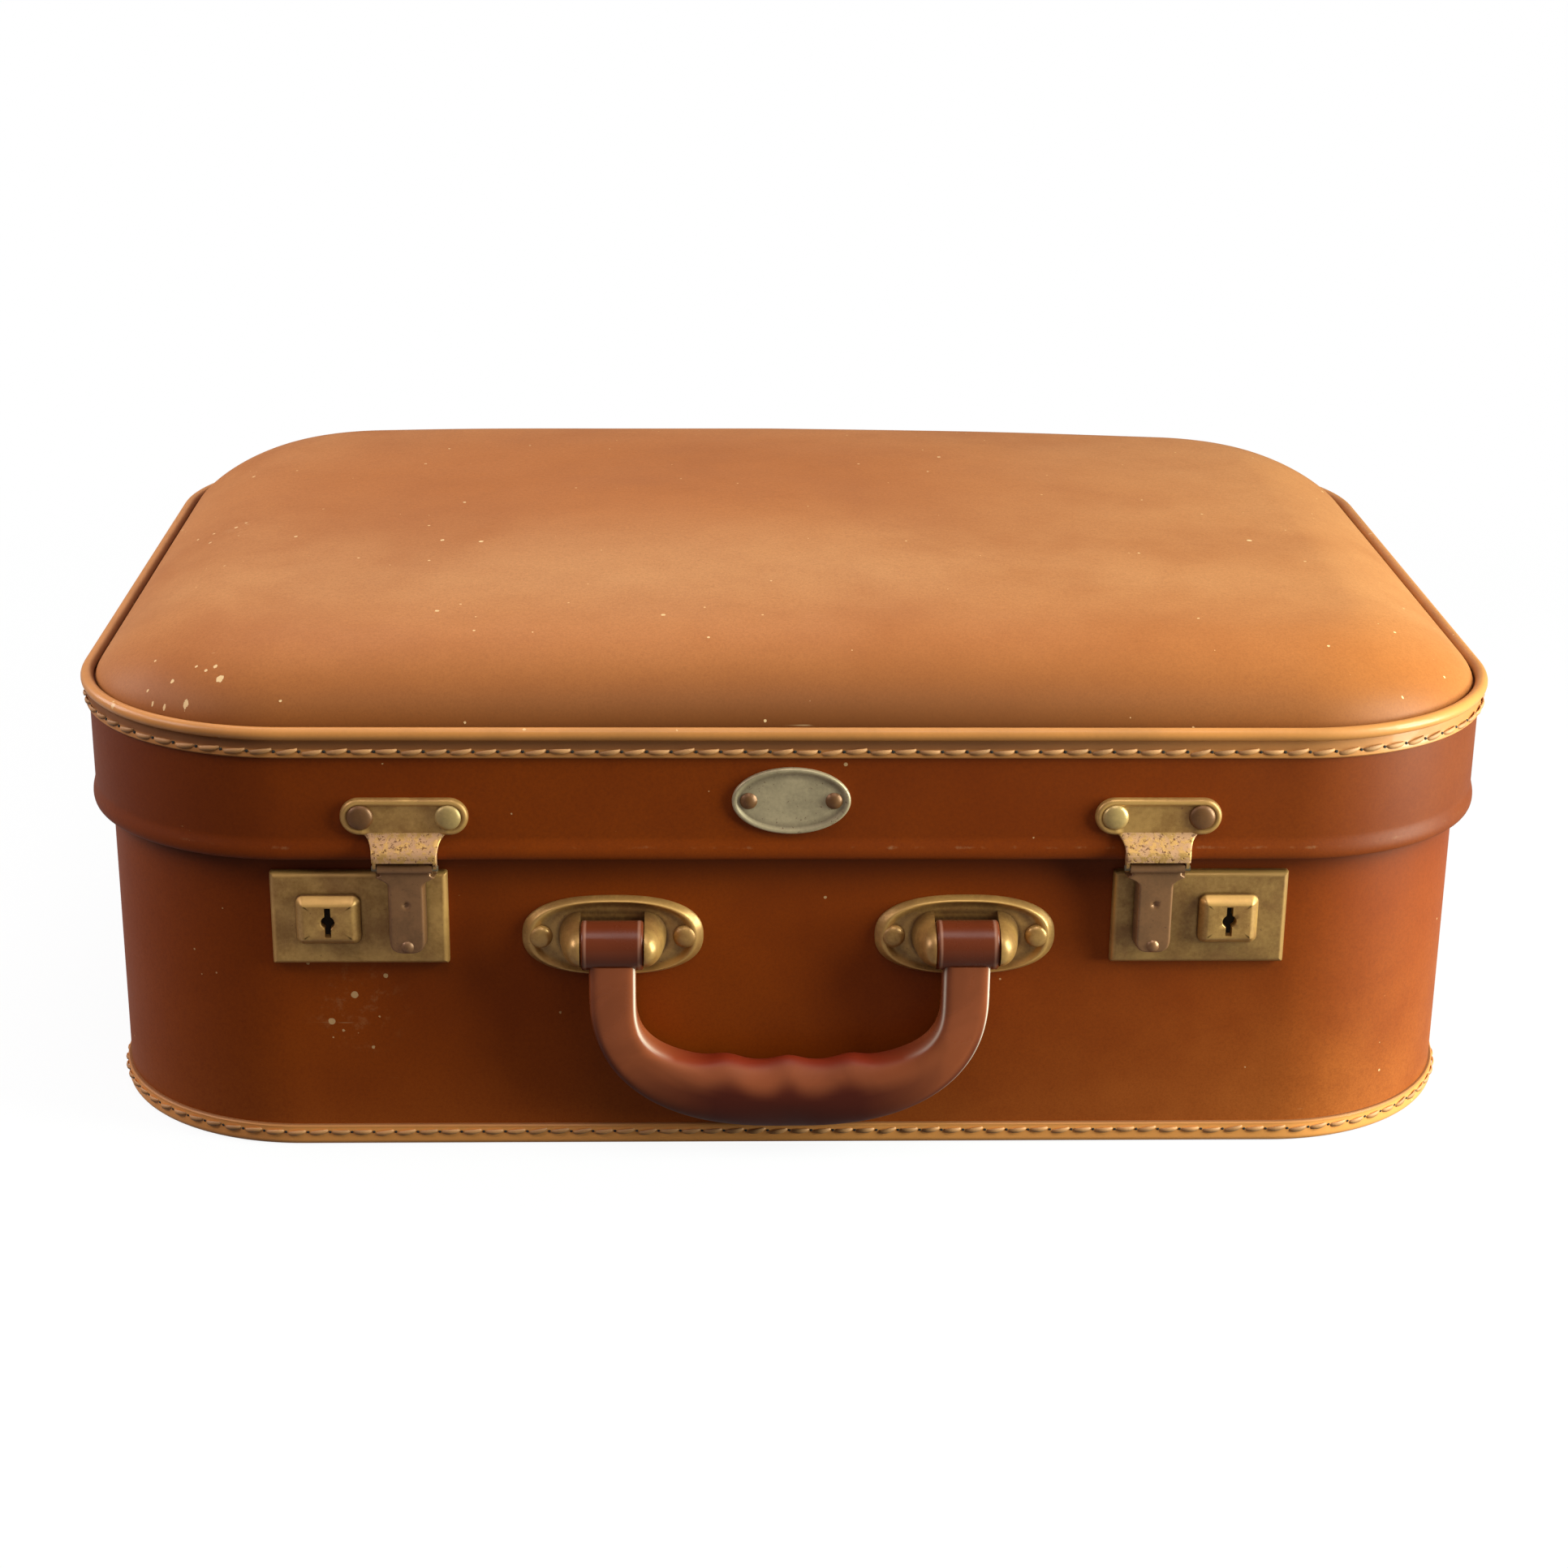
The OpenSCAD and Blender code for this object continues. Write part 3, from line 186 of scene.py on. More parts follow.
class FittingSizes(bpy.types.PropertyGroup):
    """Sizes of the hasps, locks, brackets and hinges"""
    plate_half_h: length("Hasp plate", "Half height of the pill-shaped hasp plates", 5.85 * MM)
    plate_t: length("Hasp plate face", "Height of a hasp plate's face above the lid's wall", 1.1 * MM)
    plate_rivet_x: length("Plate rivets", "Distance of a hasp plate's rivets from its middle", 13.1 * MM)
    plate_rivet_r: length("Plate rivet radius", "Radius of the rivet heads on the hasp plates", 4 * MM)
    plate_rivet_h: length("Plate rivet height", "Height of the rivet heads on the hasp plates", 1.9 * MM)
    hood_half_w: length("Hood", "Half width of the hood over a hasp's knuckle", 9.6 * MM)
    hood_root_w: length("Hood root", "Half width of the hood where it leaves its plate", 12.7 * MM)
    hood_t: length("Hood sheet", "Thickness of the hood's sheet", 0.95 * MM)
    strap_top_w: length("Strap top", "Half width of a hasp under its knuckle", 9.2 * MM)
    strap_half_w: length("Strap", "Half width of a hasp's strap", 5.8 * MM)
    strap_depth: length("Strap depth", "Depth of a hasp's folded sides", 4.2 * MM)
    strap_end_h: length("Strap end", "Height of the curve at the end of a strap", 4.6 * MM)
    knuckle_r: length("Knuckle", "Radius of a hasp's knuckle", 1.6 * MM)
    eye_r: length("Eye", "Radius of the eye in a lock plate, behind the hasp", 2.6 * MM)
    button_half_h: length("Button", "Half height of the lock buttons", 8 * MM)
    button_r: length("Button corner", "Corner radius of the lock buttons", 2.6 * MM)
    key_r: length("Keyhole", "Radius of the keyhole's disc", 2.1 * MM)
    key_half_w: length("Key slot width", "Half width of the keyhole's slot", 0.95 * MM)
    key_half_h: length("Key slot height", "Half height of the keyhole's slot", 4.8 * MM)
    window_half_w: length("Window width", "Half width of a bracket's window", 9.75 * MM)
    window_half_h: length("Window height", "Half height of a bracket's window", 4.9 * MM)
    dome_w: length("Dome width", "Width of a bracket's domes, beside the window", 6.2 * MM)
    dome_half_h: length("Dome height", "Half height of a bracket's domes", 7.3 * MM)
    bracket_rivet_x: length("Bracket rivets", "Distance of a bracket's rivets from its middle", 22 * MM)
    bracket_rivet_r: length("Bracket rivet radius", "Radius of the rivet heads on the brackets", 3.7 * MM)
    bracket_rivet_h: length("Bracket rivet height", "Height of the rivet heads on the brackets", 2.5 * MM)
    hinge_t: length("Hinge sheet", "Thickness of the hinges' leaves", 1.2 * MM)


class FinishColours(bpy.types.PropertyGroup):
    """Colours of the finishes"""
    # The pale panel tone stands for a painted sheen across the middle of the panel; the rich tone is the
    # lacquer where no sheen is painted
    panel: colour("Panel", "Faded lacquered fibre of the lid panel", (204, 138, 84))
    panel_rich: colour("Panel, rich", "Unfaded lacquer at the back of the lid panel", (188, 110, 52))
    panel_dark: colour("Panel, dark", "Darker clouds in the lid panel", (170, 96, 44))
    wall: colour("Wall", "Lacquered fibre of the walls", (144, 60, 1))
    # The paler wall tone is dust near the floor and painted light towards the right
    wall_faded: colour("Wall, faded", "Rubbed and faded walls near the floor", (182, 98, 40))
    wall_dark: colour("Wall, dark", "Darker clouds in the walls", (122, 45, 0))
    fleck: colour("Flecks", "Bare fibre where the lacquer is chipped", (244, 206, 152))
    welt: colour("Welt", "Piping and sewn strips", (212, 138, 72))
    thread: colour("Thread", "Sewing thread", (194, 134, 82))
    brass: colour("Brass", "Bright part of the brass plating", (190, 143, 80))
    tarnish: colour("Tarnish", "Dull part of the brass plating", (137, 93, 44))
    copper: colour("Copper", "Worn coppery plating of the hasps", (142, 97, 62))
    stain_and_shade: colour("Stain", "Ochre stains on the brass plating", (140, 92, 50))
    bare: colour("Bare metal", "Pinkish metal where the plating is gone", (190, 140, 106))
    rivet: colour("Brown rivet", "Coppery rivets that have lost their plating", (124, 80, 43))
    pale: colour("Pale rivet", "Rivets that have kept their plating", (194, 158, 99))
    # The rust colour also tints painted shade in the welts' creases and on the plating
    rust_and_shade: colour("Rust", "Rust specks on the metal", (96, 52, 26))
    steel: colour("Steel", "Stained drawn steel", (122, 108, 86))
    plastic: colour("Handle", "Moulded plastic of the handle", (158, 80, 46))
    # Painted shade: the dark colour shades the grip's lower half and the barrels, and the red darkens the
    # grip's top and stands for its glow
    plastic_dark: colour("Handle, dark", "Unworn plastic along the lower half of the grip", (72, 16, 4))
    plastic_red: colour("Handle, red", "Clear red plastic along the top of the grip", (118, 28, 6))
    badge: colour("Badge", "Tarnished aluminium of the badge", (192, 169, 134))
    paper: colour("Lining", "Lining paper", (206, 184, 146))
    floor: colour("Floor", "Pale floor", (245, 245, 245))


class StageSettings(bpy.types.PropertyGroup):
    """Camera"""
    focal: bpy.props.FloatProperty(name="Focal length", default=66.755,
                                   description="Focal length of the camera in millimetres")
    eye: bpy.props.FloatVectorProperty(name="Eye", description="Place of the camera", size=3,
                                       subtype="TRANSLATION", default=(-0.03095, -0.97839, 0.42108))
    pitch: angle("Pitch", "How far the camera looks down", 20.2)
    yaw: angle("Yaw", "How far the camera looks to the right", 1.957)
    roll: angle("Roll", "Tilt of the camera about its axis", 0.679)


class Value:
    """An output socket of a node; arithmetic on it adds Math nodes to the same material."""

    def __init__(self, shader, socket):
        self.shader = shader
        self.socket = socket

    def __add__(self, other):
        return self.shader.math("ADD", self, other)

    def __sub__(self, other):
        return self.shader.math("SUBTRACT", self, other)

    def __rsub__(self, other):
        return self.shader.math("SUBTRACT", other, self)

    def __mul__(self, other):
        return self.shader.math("MULTIPLY", self, other)

    __radd__ = __add__
    __rmul__ = __mul__


class Shader:
    """A material or a world under construction, with Object coordinates at hand."""

    def __init__(self, owner):
        self.owner = owner
        owner.use_nodes = True
        self.tree = owner.node_tree
        self.tree.nodes.clear()
        self.place = self.node("TexCoord", output="Object")

    def node(self, kind, settings=None, sockets=None, output=0):
        """Adds a node: its settings first, then the values or links of its sockets."""
        node = self.tree.nodes.new("ShaderNode" + kind)
        for name, value in (settings or {}).items():
            setattr(node, name, value)
        for key, value in (sockets or {}).items():
            if isinstance(value, Value):
                self.tree.links.new(value.socket, node.inputs[key])
            else:
                node.inputs[key].default_value = value
        return Value(self, node.outputs[output]) if node.outputs else None

    def math(self, operation, first, second):
        """One operation on two numbers."""
        return self.node("Math", {"operation": operation}, {0: first, 1: second})

    def mix(self, factor, first, second):
        """Blends two colours."""
        rgba = [c if isinstance(c, Value) else (*c[:3], 1) for c in (first, second)]
        return self.node("Mix", {"data_type": "RGBA"}, {0: factor, 6: rgba[0], 7: rgba[1]}, 2)

    def step(self, value, low, high):
        """0 below low, 1 above high, smooth between."""
        return self.node("MapRange", {"interpolation_type": "SMOOTHSTEP"}, {0: value, 1: low, 2: high})

    def noise(self, scale, detail=3, rough=0.55, distortion=0, vector=None):
        """Clouds of about 1 / scale metres."""
        return self.node("TexNoise", {}, {"Vector": vector or self.place, "Scale": scale, "Detail": detail,
                                          "Roughness": rough, "Distortion": distortion})

    def cells(self, scale, output="Distance"):
        """Cells around scattered points, about 1 / scale metres apart: the distance from the nearest
        point, or its random colour."""
        return self.node("TexVoronoi", {}, {"Vector": self.place, "Scale": scale}, output)

    def axis(self, name):
        """One of the Object coordinates."""
        return self.node("SeparateXYZ", {}, {0: self.place}, name)

    def near(self, point, radius):
        """1 around a point, fading to 0 at a radius."""
        far = self.node("VectorMath", {"operation": "DISTANCE"}, {0: self.place, 1: point}, "Value")
        return 1 - self.step(far, radius * 0.3, radius)

    def background(self):
        """1 for what the camera sees directly, and a share of it in reflections and through glass."""
        camera, glossy, clear = (self.node("LightPath", output=f"Is {ray} Ray")
                                 for ray in ("Camera", "Glossy", "Transmission"))
        return camera + (glossy + clear) * MIRRORED

    def attribute(self, name):
        """A number that the mesh holds at each point."""
        return self.node("Attribute", {"attribute_name": name}, output="Fac")

    def bump(self, height, strength, distance):
        """Tilts the normal along the slope of a height."""
        return self.node("Bump", {}, {"Height": height, "Strength": strength, "Distance": distance})

    def finish(self, **sockets):
        """Ends the material in a Principled surface; a name's underscores stand for spaces."""
        surface = self.node("BsdfPrincipled", {}, {key.replace("_", " "): v for key, v in sockets.items()})
        self.node("OutputMaterial", {}, {"Surface": surface})
        return self.owner


MATERIALS = {}


def material(build):
    """Makes a material once, named after its function."""
    def get():
        name = build.__name__
        if name not in MATERIALS:
            shader = Shader(bpy.data.materials.new(name))
            MATERIALS[name] = build(shader, bpy.context.scene.suitcase_colours)
        return MATERIALS[name]
    return get


def chips(s, scale, keep, size):
    """Chips with ragged outlines: of the scattered cells, those whose random value passes keep."""
    ragged = (s.noise(scale * 4, 3, 0.7) - 0.5) * 0.5
    random = s.cells(scale, "Color")
    pick = s.node("SeparateColor", {}, {0: random}, 0)
    extent = s.node("SeparateColor", {}, {0: random}, 1) * size
    away = s.cells(scale) + ragged * size
    inside = s.math("LESS_THAN", away, extent)
    return inside * s.math("GREATER_THAN", pick, keep)


def placed_chips(s, spots):
    """Single ragged chips, each given by its place in plan and its radius in millimetres."""
    plan = s.node("Mapping", {}, {"Vector": s.place, "Scale": (1, 1, 0)})
    ragged = (s.noise(900, 3, 0.7) - 0.5) * 1.6
    marks = 0.0
    for x, y, radius in spots:
        point = (x * MM, y * MM, 0)
        away = s.node("VectorMath", {"operation": "DISTANCE"}, {0: plan, 1: point}, "Value")
        inside = s.math("LESS_THAN", away * (1 / MM) + ragged * radius, radius)
        marks = s.math("MAXIMUM", inside, marks)
    return marks


def scratches(s, turn, scale, amount):
    """Thin marks: clouds drawn out along one direction, cut near their crest."""
    turned = s.node("Mapping", {}, {"Vector": s.place, "Rotation": (0.3, turn, turn), "Scale": (3, 55, 55)})
    line = s.noise(scale, 2, 0.5, 0, turned)
    return s.step(line, 0.73, 0.78) * s.step(s.noise(scale * 1.7, 1), amount, amount + 0.1)


def fibre_surface(s, light, dark, fleck, rough, worn_spots, lone_chips, few, strength):
    """Lacquered fibre: clouds at three sizes, fine grain, sparse chips and scratches. Few is the share
    of cells that hold a chip, and strength how far a chip shows. Chips crowd together at worn spots,
    each given as (place, radius); lone chips have places of their own."""
    cloud = s.step(s.noise(7, 4, 0.6, 0.4), 0.36, 0.66)
    mottle = s.step(s.noise(60, 4, 0.6), 0.35, 0.7)
    grain = s.noise(750, 3, 0.7)
    base = s.mix(cloud * 0.5 + mottle * 0.18, light, dark)
    base = s.mix((grain - 0.42) * 0.7, base, tinted(dark, 0.62))
    base = s.mix((s.noise(1700, 2, 0.7) - 0.4) * 0.9, base, tinted(dark, 0.55))
    rub_and_highlight = s.step(s.attribute("wear") + (s.noise(160, 4, 0.65) - 0.5) * 0.9, 0.5, 0.95)
    base = s.mix(rub_and_highlight * 0.45, base, fleck)
    # Painted shade, with some dirt: darker where the mesh says, under the lid's hem, on the panel's front
    # shoulder and towards the walls' ends
    base = s.mix(s.attribute("grime") * 0.8, base, tinted(dark, 0.3))
    worn = 0.0
    for place, radius in worn_spots:
        worn = s.near(place, radius) + worn
    scuff = s.step(s.noise(200, 5, 0.7), 0.52, 0.66) * worn
    base = s.mix(scuff * 0.06, base, fleck)
    marks = s.math("MAXIMUM", chips(s, 330, 1 - few - worn * 0.035, 0.34),
                   chips(s, 900, 1 - few * 0.67 - worn * 0.012, 0.5))
    marks = s.math("MAXIMUM", marks, chips(s, 150, 1 - worn * 0.3, 0.17))
    marks = s.math("MAXIMUM", marks, scratches(s, 0.5, 14, 0.6) * 0.4)
    if lone_chips:
        marks = s.math("MAXIMUM", marks, placed_chips(s, lone_chips))
    base = s.mix(marks * strength, base, fleck)
    soft = s.noise(28, 3, 0.5)
    rough_map = rough + (soft - 0.5) * 0.16 + (grain - 0.5) * 0.1 + marks * 0.25
    height = grain * 0.5 + s.noise(420, 3, 0.6) * 0.5 - marks * 0.6
    normal = s.bump(height, 0.22, 0.12 * MM)
    return s.finish(Base_Color=base, Roughness=rough_map, Normal=normal, Specular_IOR_Level=0.16)


@material
def panel_fibre(s, c):
    """The lid panel: rich in the middle of its back, paler elsewhere as a painted sheen, with painted shade
    on its front shoulder and chips at its left end.
    """
    spots = [((-0.188, -0.012, 0.16), 0.02)]
    light = s.mix(s.attribute("faded"), c.panel_rich, c.panel)
    return fibre_surface(s, light, c.panel_dark, c.fleck, 0.52, spots, PANEL_CHIPS, 0.003, 0.85)


@material
def wall_fibre(s, c):
    """The walls: darker than the panel, paler with dust near the floor and with painted light towards the
    right.
    """
    spots = [((-0.133, -0.16, 0.047), 0.02)]
    light = s.mix(s.attribute("faded"), c.wall, c.wall_faded)
    return fibre_surface(s, light, c.wall_dark, c.fleck, 0.5, spots, [], 0.0014, 0.45)


@material
def welt_fibre(s, c):
    """Sewn binding: lighter and smoother, with painted shade in its creases, paler on the base's welt as
    painted light, and with small chips.
    """
    cloud = s.step(s.noise(24, 4, 0.6), 0.35, 0.7)
    grain = s.noise(900, 3, 0.6)
    dark = tinted(c.welt, 0.55)
    base = s.mix(cloud * 0.4 + (grain - 0.4) * 0.3, c.welt, dark)
    # Painted light makes the base's welt paler; painted shade darkens the creases with a rust-brown
    base = s.mix(s.attribute("faded") * 0.7, base, tinted(c.welt, 1.35))
    base = s.mix(s.attribute("fold") * 0.85, base, tinted(c.rust_and_shade, 1.3))
    base = s.mix(chips(s, 400, 0.985, 0.4) * 0.6, base, c.fleck)
    normal = s.bump(grain, 0.25, 0.12 * MM)
    return s.finish(Base_Color=base, Roughness=0.42 + (cloud - 0.5) * 0.15 + s.attribute("fold") * 0.3,
                    Normal=normal, Coat_Weight=0.1 - s.attribute("fold") * 0.1, Specular_IOR_Level=0.3)


@material
def sewing_thread(s, c):
    """Waxed thread with a fine twist."""
    twist = s.noise(2600, 2, 0.6)
    soiled = s.step(s.noise(60, 2), 0.4, 0.7) * 0.6 + (twist - 0.5) * 0.5
    base = s.mix(soiled, c.thread, tinted(c.thread, 0.5))
    return s.finish(Base_Color=base, Roughness=0.6, Normal=s.bump(twist, 0.4, 0.1 * MM))


def plated_surface(s, bright, rust_and_shade, rust_amount, dull=None, stain_and_shade=None):
    """Worn plating: bright and dull clouds, specks of rust, and stains where they are given; lighter with
    wear and painted highlights, darker with dirt and painted shade, where the mesh holds them.
    """
    cloud = s.step(s.noise(85, 5, 0.65), 0.34, 0.66)
    fine = s.noise(900, 4, 0.65)
    base = s.mix(cloud * 0.7 + (fine - 0.5) * 0.9, bright, dull or tinted(bright, 0.6))
    if stain_and_shade:
        base = s.mix(s.step(s.noise(75, 5, 0.72), 0.44, 0.64) * 0.5, base, stain_and_shade)
    speck = s.step(s.noise(700, 4, 0.7), 0.66 - rust_amount, 0.74 - rust_amount)
    base = s.mix(speck * 0.85, base, rust_and_shade)
    # Painted highlights and wear make the plating lighter; painted shade and dirt make it darker
    base = s.mix(s.attribute("wear") * (0.45 + fine * 0.7), base, tinted(bright, 1.45))
    base = s.mix(s.attribute("grime") * (0.6 + fine * 0.4), base, tinted(rust_and_shade, 0.35))
    rough = 0.3 + cloud * 0.18 + speck * 0.3 + (fine - 0.5) * 0.15
    normal = s.bump(fine - speck * 0.6, 0.3, 0.08 * MM)
    return s.finish(Base_Color=base, Roughness=rough, Metallic=0.4 - speck * 0.3, Normal=normal)


@material
def worn_brass(s, c):
    """Brass plating with ochre stains."""
    return plated_surface(s, c.brass, c.rust_and_shade, 0.01, c.tarnish, c.stain_and_shade)


@material
def rusted_brass(s, c):
    """Plating that has come off in patches and left pinkish, pitted metal."""
    bare = s.step(s.noise(420, 5, 0.7), 0.43, 0.56)
    pits = s.step(s.noise(800, 4, 0.7), 0.54, 0.62)
    base = s.mix(bare * 0.8, c.brass, c.bare)
    base = s.mix(pits * 0.8, base, c.rust_and_shade)
    normal = s.bump(bare * -0.5 - pits, 0.5, 0.12 * MM)
    return s.finish(Base_Color=base, Roughness=0.42 + bare * 0.2, Metallic=0.6 - bare * 0.3, Normal=normal)


@material
def worn_copper(s, c):
    """Coppery plating of the hasps."""
    return plated_surface(s, c.copper, c.rust_and_shade, 0.05)


@material
def brown_rivet(s, c):
    """A rivet that has lost its plating."""
    return plated_surface(s, c.rivet, c.rust_and_shade, 0.04)


@material
def pale_rivet(s, c):
    """A rivet that has kept its plating."""
    return plated_surface(s, c.pale, c.rust_and_shade, 0.0)


@material
def drawn_steel(s, c):
    """Stained steel of the pins and springs."""
    return plated_surface(s, c.steel, c.rust_and_shade, 0.0)


@material
def badge_metal(s, c):
    """Tarnished aluminium."""
    return plated_surface(s, c.badge, c.rust_and_shade, 0.05)


@material
def handle_plastic(s, c):
    """Moulded plastic: red-brown with slow streaks and glossy. Painted shade darkens the grip and the
    barrels, a deep red painted along the grip's top stands for its shade and glow, and painted highlights
    run along the arms' edges.
    """
    streak = s.step(s.noise(30, 3, 0.6, 1.5), 0.35, 0.7)
    base = s.mix(streak * 0.5, c.plastic, tinted(c.plastic, 0.6))
    # Painted shade, then the painted red along the grip's top, then the pale painted highlight and worn
    # lines
    base = s.mix(s.attribute("shade"), base, c.plastic_dark)
    base = s.mix(s.attribute("red") * 0.85, base, c.plastic_red)
    base = s.mix(s.attribute("corner") * 0.9, base, RUBBED_AND_HIGHLIT_PLASTIC)
    fine = s.noise(500, 3, 0.6)
    normal = s.bump(fine, 0.06, 0.1 * MM)
    dull = 1 - s.step(s.axis("Z"), 0.03, 0.045)
    rough = 0.26 + dull * 0.3 + (streak - 0.5) * 0.1 + (fine - 0.5) * 0.08
    return s.finish(Base_Color=base, Roughness=rough, Normal=normal,
                    Coat_Weight=0.03, Coat_Roughness=0.12, Specular_IOR_Level=0.2)


@material
def lining_paper(s, c):
    """Matte paper with fibres and faint stains."""
    stain_and_shade = s.step(s.noise(14, 4, 0.6), 0.45, 0.75)
    fibres = s.noise(700, 4, 0.7, 0.6)
    base = s.mix(stain_and_shade * 0.3 + (fibres - 0.5) * 0.3, c.paper, tinted(c.paper, 0.66))
    return s.finish(Base_Color=base, Roughness=0.85, Normal=s.bump(fibres, 0.3, 0.1 * MM))


@material
def dark_inside(s, c):
    """The unlit hollow behind a keyhole or in a needle hole."""
    grime = s.noise(400, 3)
    return s.finish(Base_Color=s.mix(grime, HOLLOW, HOLLOW_DUST), Roughness=0.9)


def full_turn(count):
    """Angles around a circle, evenly spaced."""
    return np.linspace(0, 2 * np.pi, count, endpoint=False)


def ramp(value, width):
    """0 below zero, 1 above a width, straight between."""
    return np.clip(value / width, 0, 1)


def bell(value, width):
    """A bell curve: 1 at zero, and 1 / e at a width to either side."""
    return np.exp(-(value / width) ** 2)


def round_edge(away, width):
    """A quarter circle: 0 at an edge, rising to 1 at a width from it."""
    return np.sqrt(np.clip(1 - np.clip(1 - away / width, 0, 1) ** 2, 0, 1))


def lid_face():
    """Distance of the lid's wall, beside its hem, in front of the base wall."""
    return -LID_LO.y - HALF_D - bpy.context.scene.suitcase_case.hem_t


def grid_faces(rows, columns, wrap_rows=False, wrap_columns=False):
    """Quads over a grid of points numbered row by row."""
    row = np.arange(rows if wrap_rows else rows - 1)[:, None]
    column = np.arange(columns if wrap_columns else columns - 1)[None, :]
    next_row = (row + 1) % rows
    next_column = (column + 1) % columns
    corners = [row * columns + column, row * columns + next_column,
               next_row * columns + next_column, next_row * columns + column]
    return np.stack(corners, axis=-1).reshape(-1, 4)


def fan_faces(ring, centre):
    """Triangles from a ring of point numbers to one point."""
    return np.stack([np.roll(ring, -1), np.full(len(ring), centre), ring], axis=-1)


def tube_faces(number, rows, columns):
    """Quads of many like six-sided tubes, numbered one after another; two quads close each end."""
    ends = np.stack([np.arange(columns)[::-1], (rows - 1) * columns + np.arange(columns)])
    quads = np.vstack([grid_faces(rows, columns, False, True),
                       ends[:, [0, 1, 2, 3]], ends[:, [0, 3, 4, 5]]])
    return (np.arange(number)[:, None, None] * rows * columns + quads).reshape(-1, 4)


def signed_volume(points, faces):
    """Volume under a mesh's faces: a sum of the tetrahedra from the origin."""
    corners = points[faces]
    parts = np.einsum("ij,ij->i", corners[:, 0], np.cross(corners[:, 1], corners[:, 2]))
    if faces.shape[1] == 4:
        parts = parts + np.einsum("ij,ij->i", corners[:, 0], np.cross(corners[:, 2], corners[:, 3]))
    return parts.sum() / 6


class Piece:
    """Collects closed shells, then becomes one mesh object that rides on a body."""

    def __init__(self, name):
        self.name = name
        self.points = []
        self.faces = []
        self.slots = []
        self.extra = {}
        self.count = 0

    def shell(self, points, faces, slot=0, **attributes):
        """Adds a closed shell, turned so that its faces point outwards."""
        points = np.asarray(points, float).reshape(-1, 3)
        if sum(signed_volume(points, f) for f in faces) < 0:
            faces = [f[:, ::-1] for f in faces]
        for f in faces:
            self.faces += (f + self.count).tolist()
            self.slots += [slot] * len(f)
        for name, values in attributes.items():
            self.extra.setdefault(name, []).append((self.count, np.asarray(values, float).ravel()))
        self.points.append(points)
        self.count += len(points)

    def grid(self, points, wrap_rows=False, wrap_columns=False, cap_start=None, cap_end=None, slot=0,
             **attributes):
        """Adds a grid of points; a cap closes the first or last row at a point."""
        rows, columns = points.shape[:2]
        flat = points.reshape(-1, 3)
        faces = [grid_faces(rows, columns, wrap_rows, wrap_columns)]
        caps = [(cap_start, np.arange(columns)[::-1]), (cap_end, (rows - 1) * columns + np.arange(columns))]
        for centre, ring in caps:
            if centre is not None:
                faces.append(fan_faces(ring, len(flat)))
                flat = np.vstack([flat, [centre]])
        padded = {name: np.append(values.ravel(), np.zeros(len(flat) - values.size))
                  for name, values in attributes.items()}
        self.shell(flat, faces, slot, **padded)

    def closed(self, rings, slot=0, **attributes):
        """Adds rings of points, capped at the middles of the first and the last."""
        self.grid(rings, False, True, rings[0].mean(0), rings[-1].mean(0), slot, **attributes)

    def bar(self, points, slot=0, **attributes):
        """Adds a grid whose rows are loops, one run out and one run back; quads from the one run
        to the other close its two ends."""
        rows, columns = points.shape[:2]
        there = np.arange(columns // 2 - 1)
        back = columns - 1 - there
        ladder = np.stack([there, there + 1, back - 1, back], -1)
        last = (rows - 1) * columns
        faces = [grid_faces(rows, columns, False, True), ladder[:, ::-1], last + ladder]
        self.shell(points, faces, slot, **attributes)

    def finish(self, body, materials, node, slot, sharp=40):
        """Makes the object: smooth shading up to an angle, its finishes, the body that it rides on, and
        the node, if any, that it stands for."""
        mesh = bpy.data.meshes.new(self.name)
        mesh.from_pydata(np.vstack(self.points).tolist(), [], self.faces)
        for mat in materials:
            mesh.materials.append(mat)
        mesh.polygons.foreach_set("material_index", np.array(self.slots, np.int32))
        mesh.polygons.foreach_set("use_smooth", np.ones(len(self.faces), bool))
        mesh.set_sharp_from_angle(angle=math.radians(sharp))
        for name, parts in self.extra.items():
            values = np.zeros(self.count, np.float32)
            for start, part in parts:
                values[start:start + len(part)] = part
            mesh.attributes.new(name, "FLOAT", "POINT").data.foreach_set("value", values)
        mesh.validate()
        obj = bpy.data.objects.new(self.name, mesh)
        bpy.context.scene.collection.objects.link(obj)
        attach(obj, body)
        if node:
            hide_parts(node)


def dress_node(name, mat, bevel=0.0):
    """Gives a node of the frame its finish, rounds its edges and smooths its curves."""
    obj = NODES[name]
    obj.data.materials.clear()
    obj.data.materials.append(mat)
    obj.data.polygons.foreach_set("use_smooth", np.ones(len(obj.data.polygons), bool))
    weld = obj.modifiers.new("Weld", "WELD")
    weld.merge_threshold = 0.002 * MM
    if bevel:
        edge = obj.modifiers.new("Bevel", "BEVEL")
        edge.width = bevel
        edge.segments = 2
        edge.limit_method = "ANGLE"
        edge.angle_limit = math.radians(40)
        edge.harden_normals = True
    else:
        split = obj.modifiers.new("EdgeSplit", "EDGE_SPLIT")
        split.split_angle = math.radians(38)


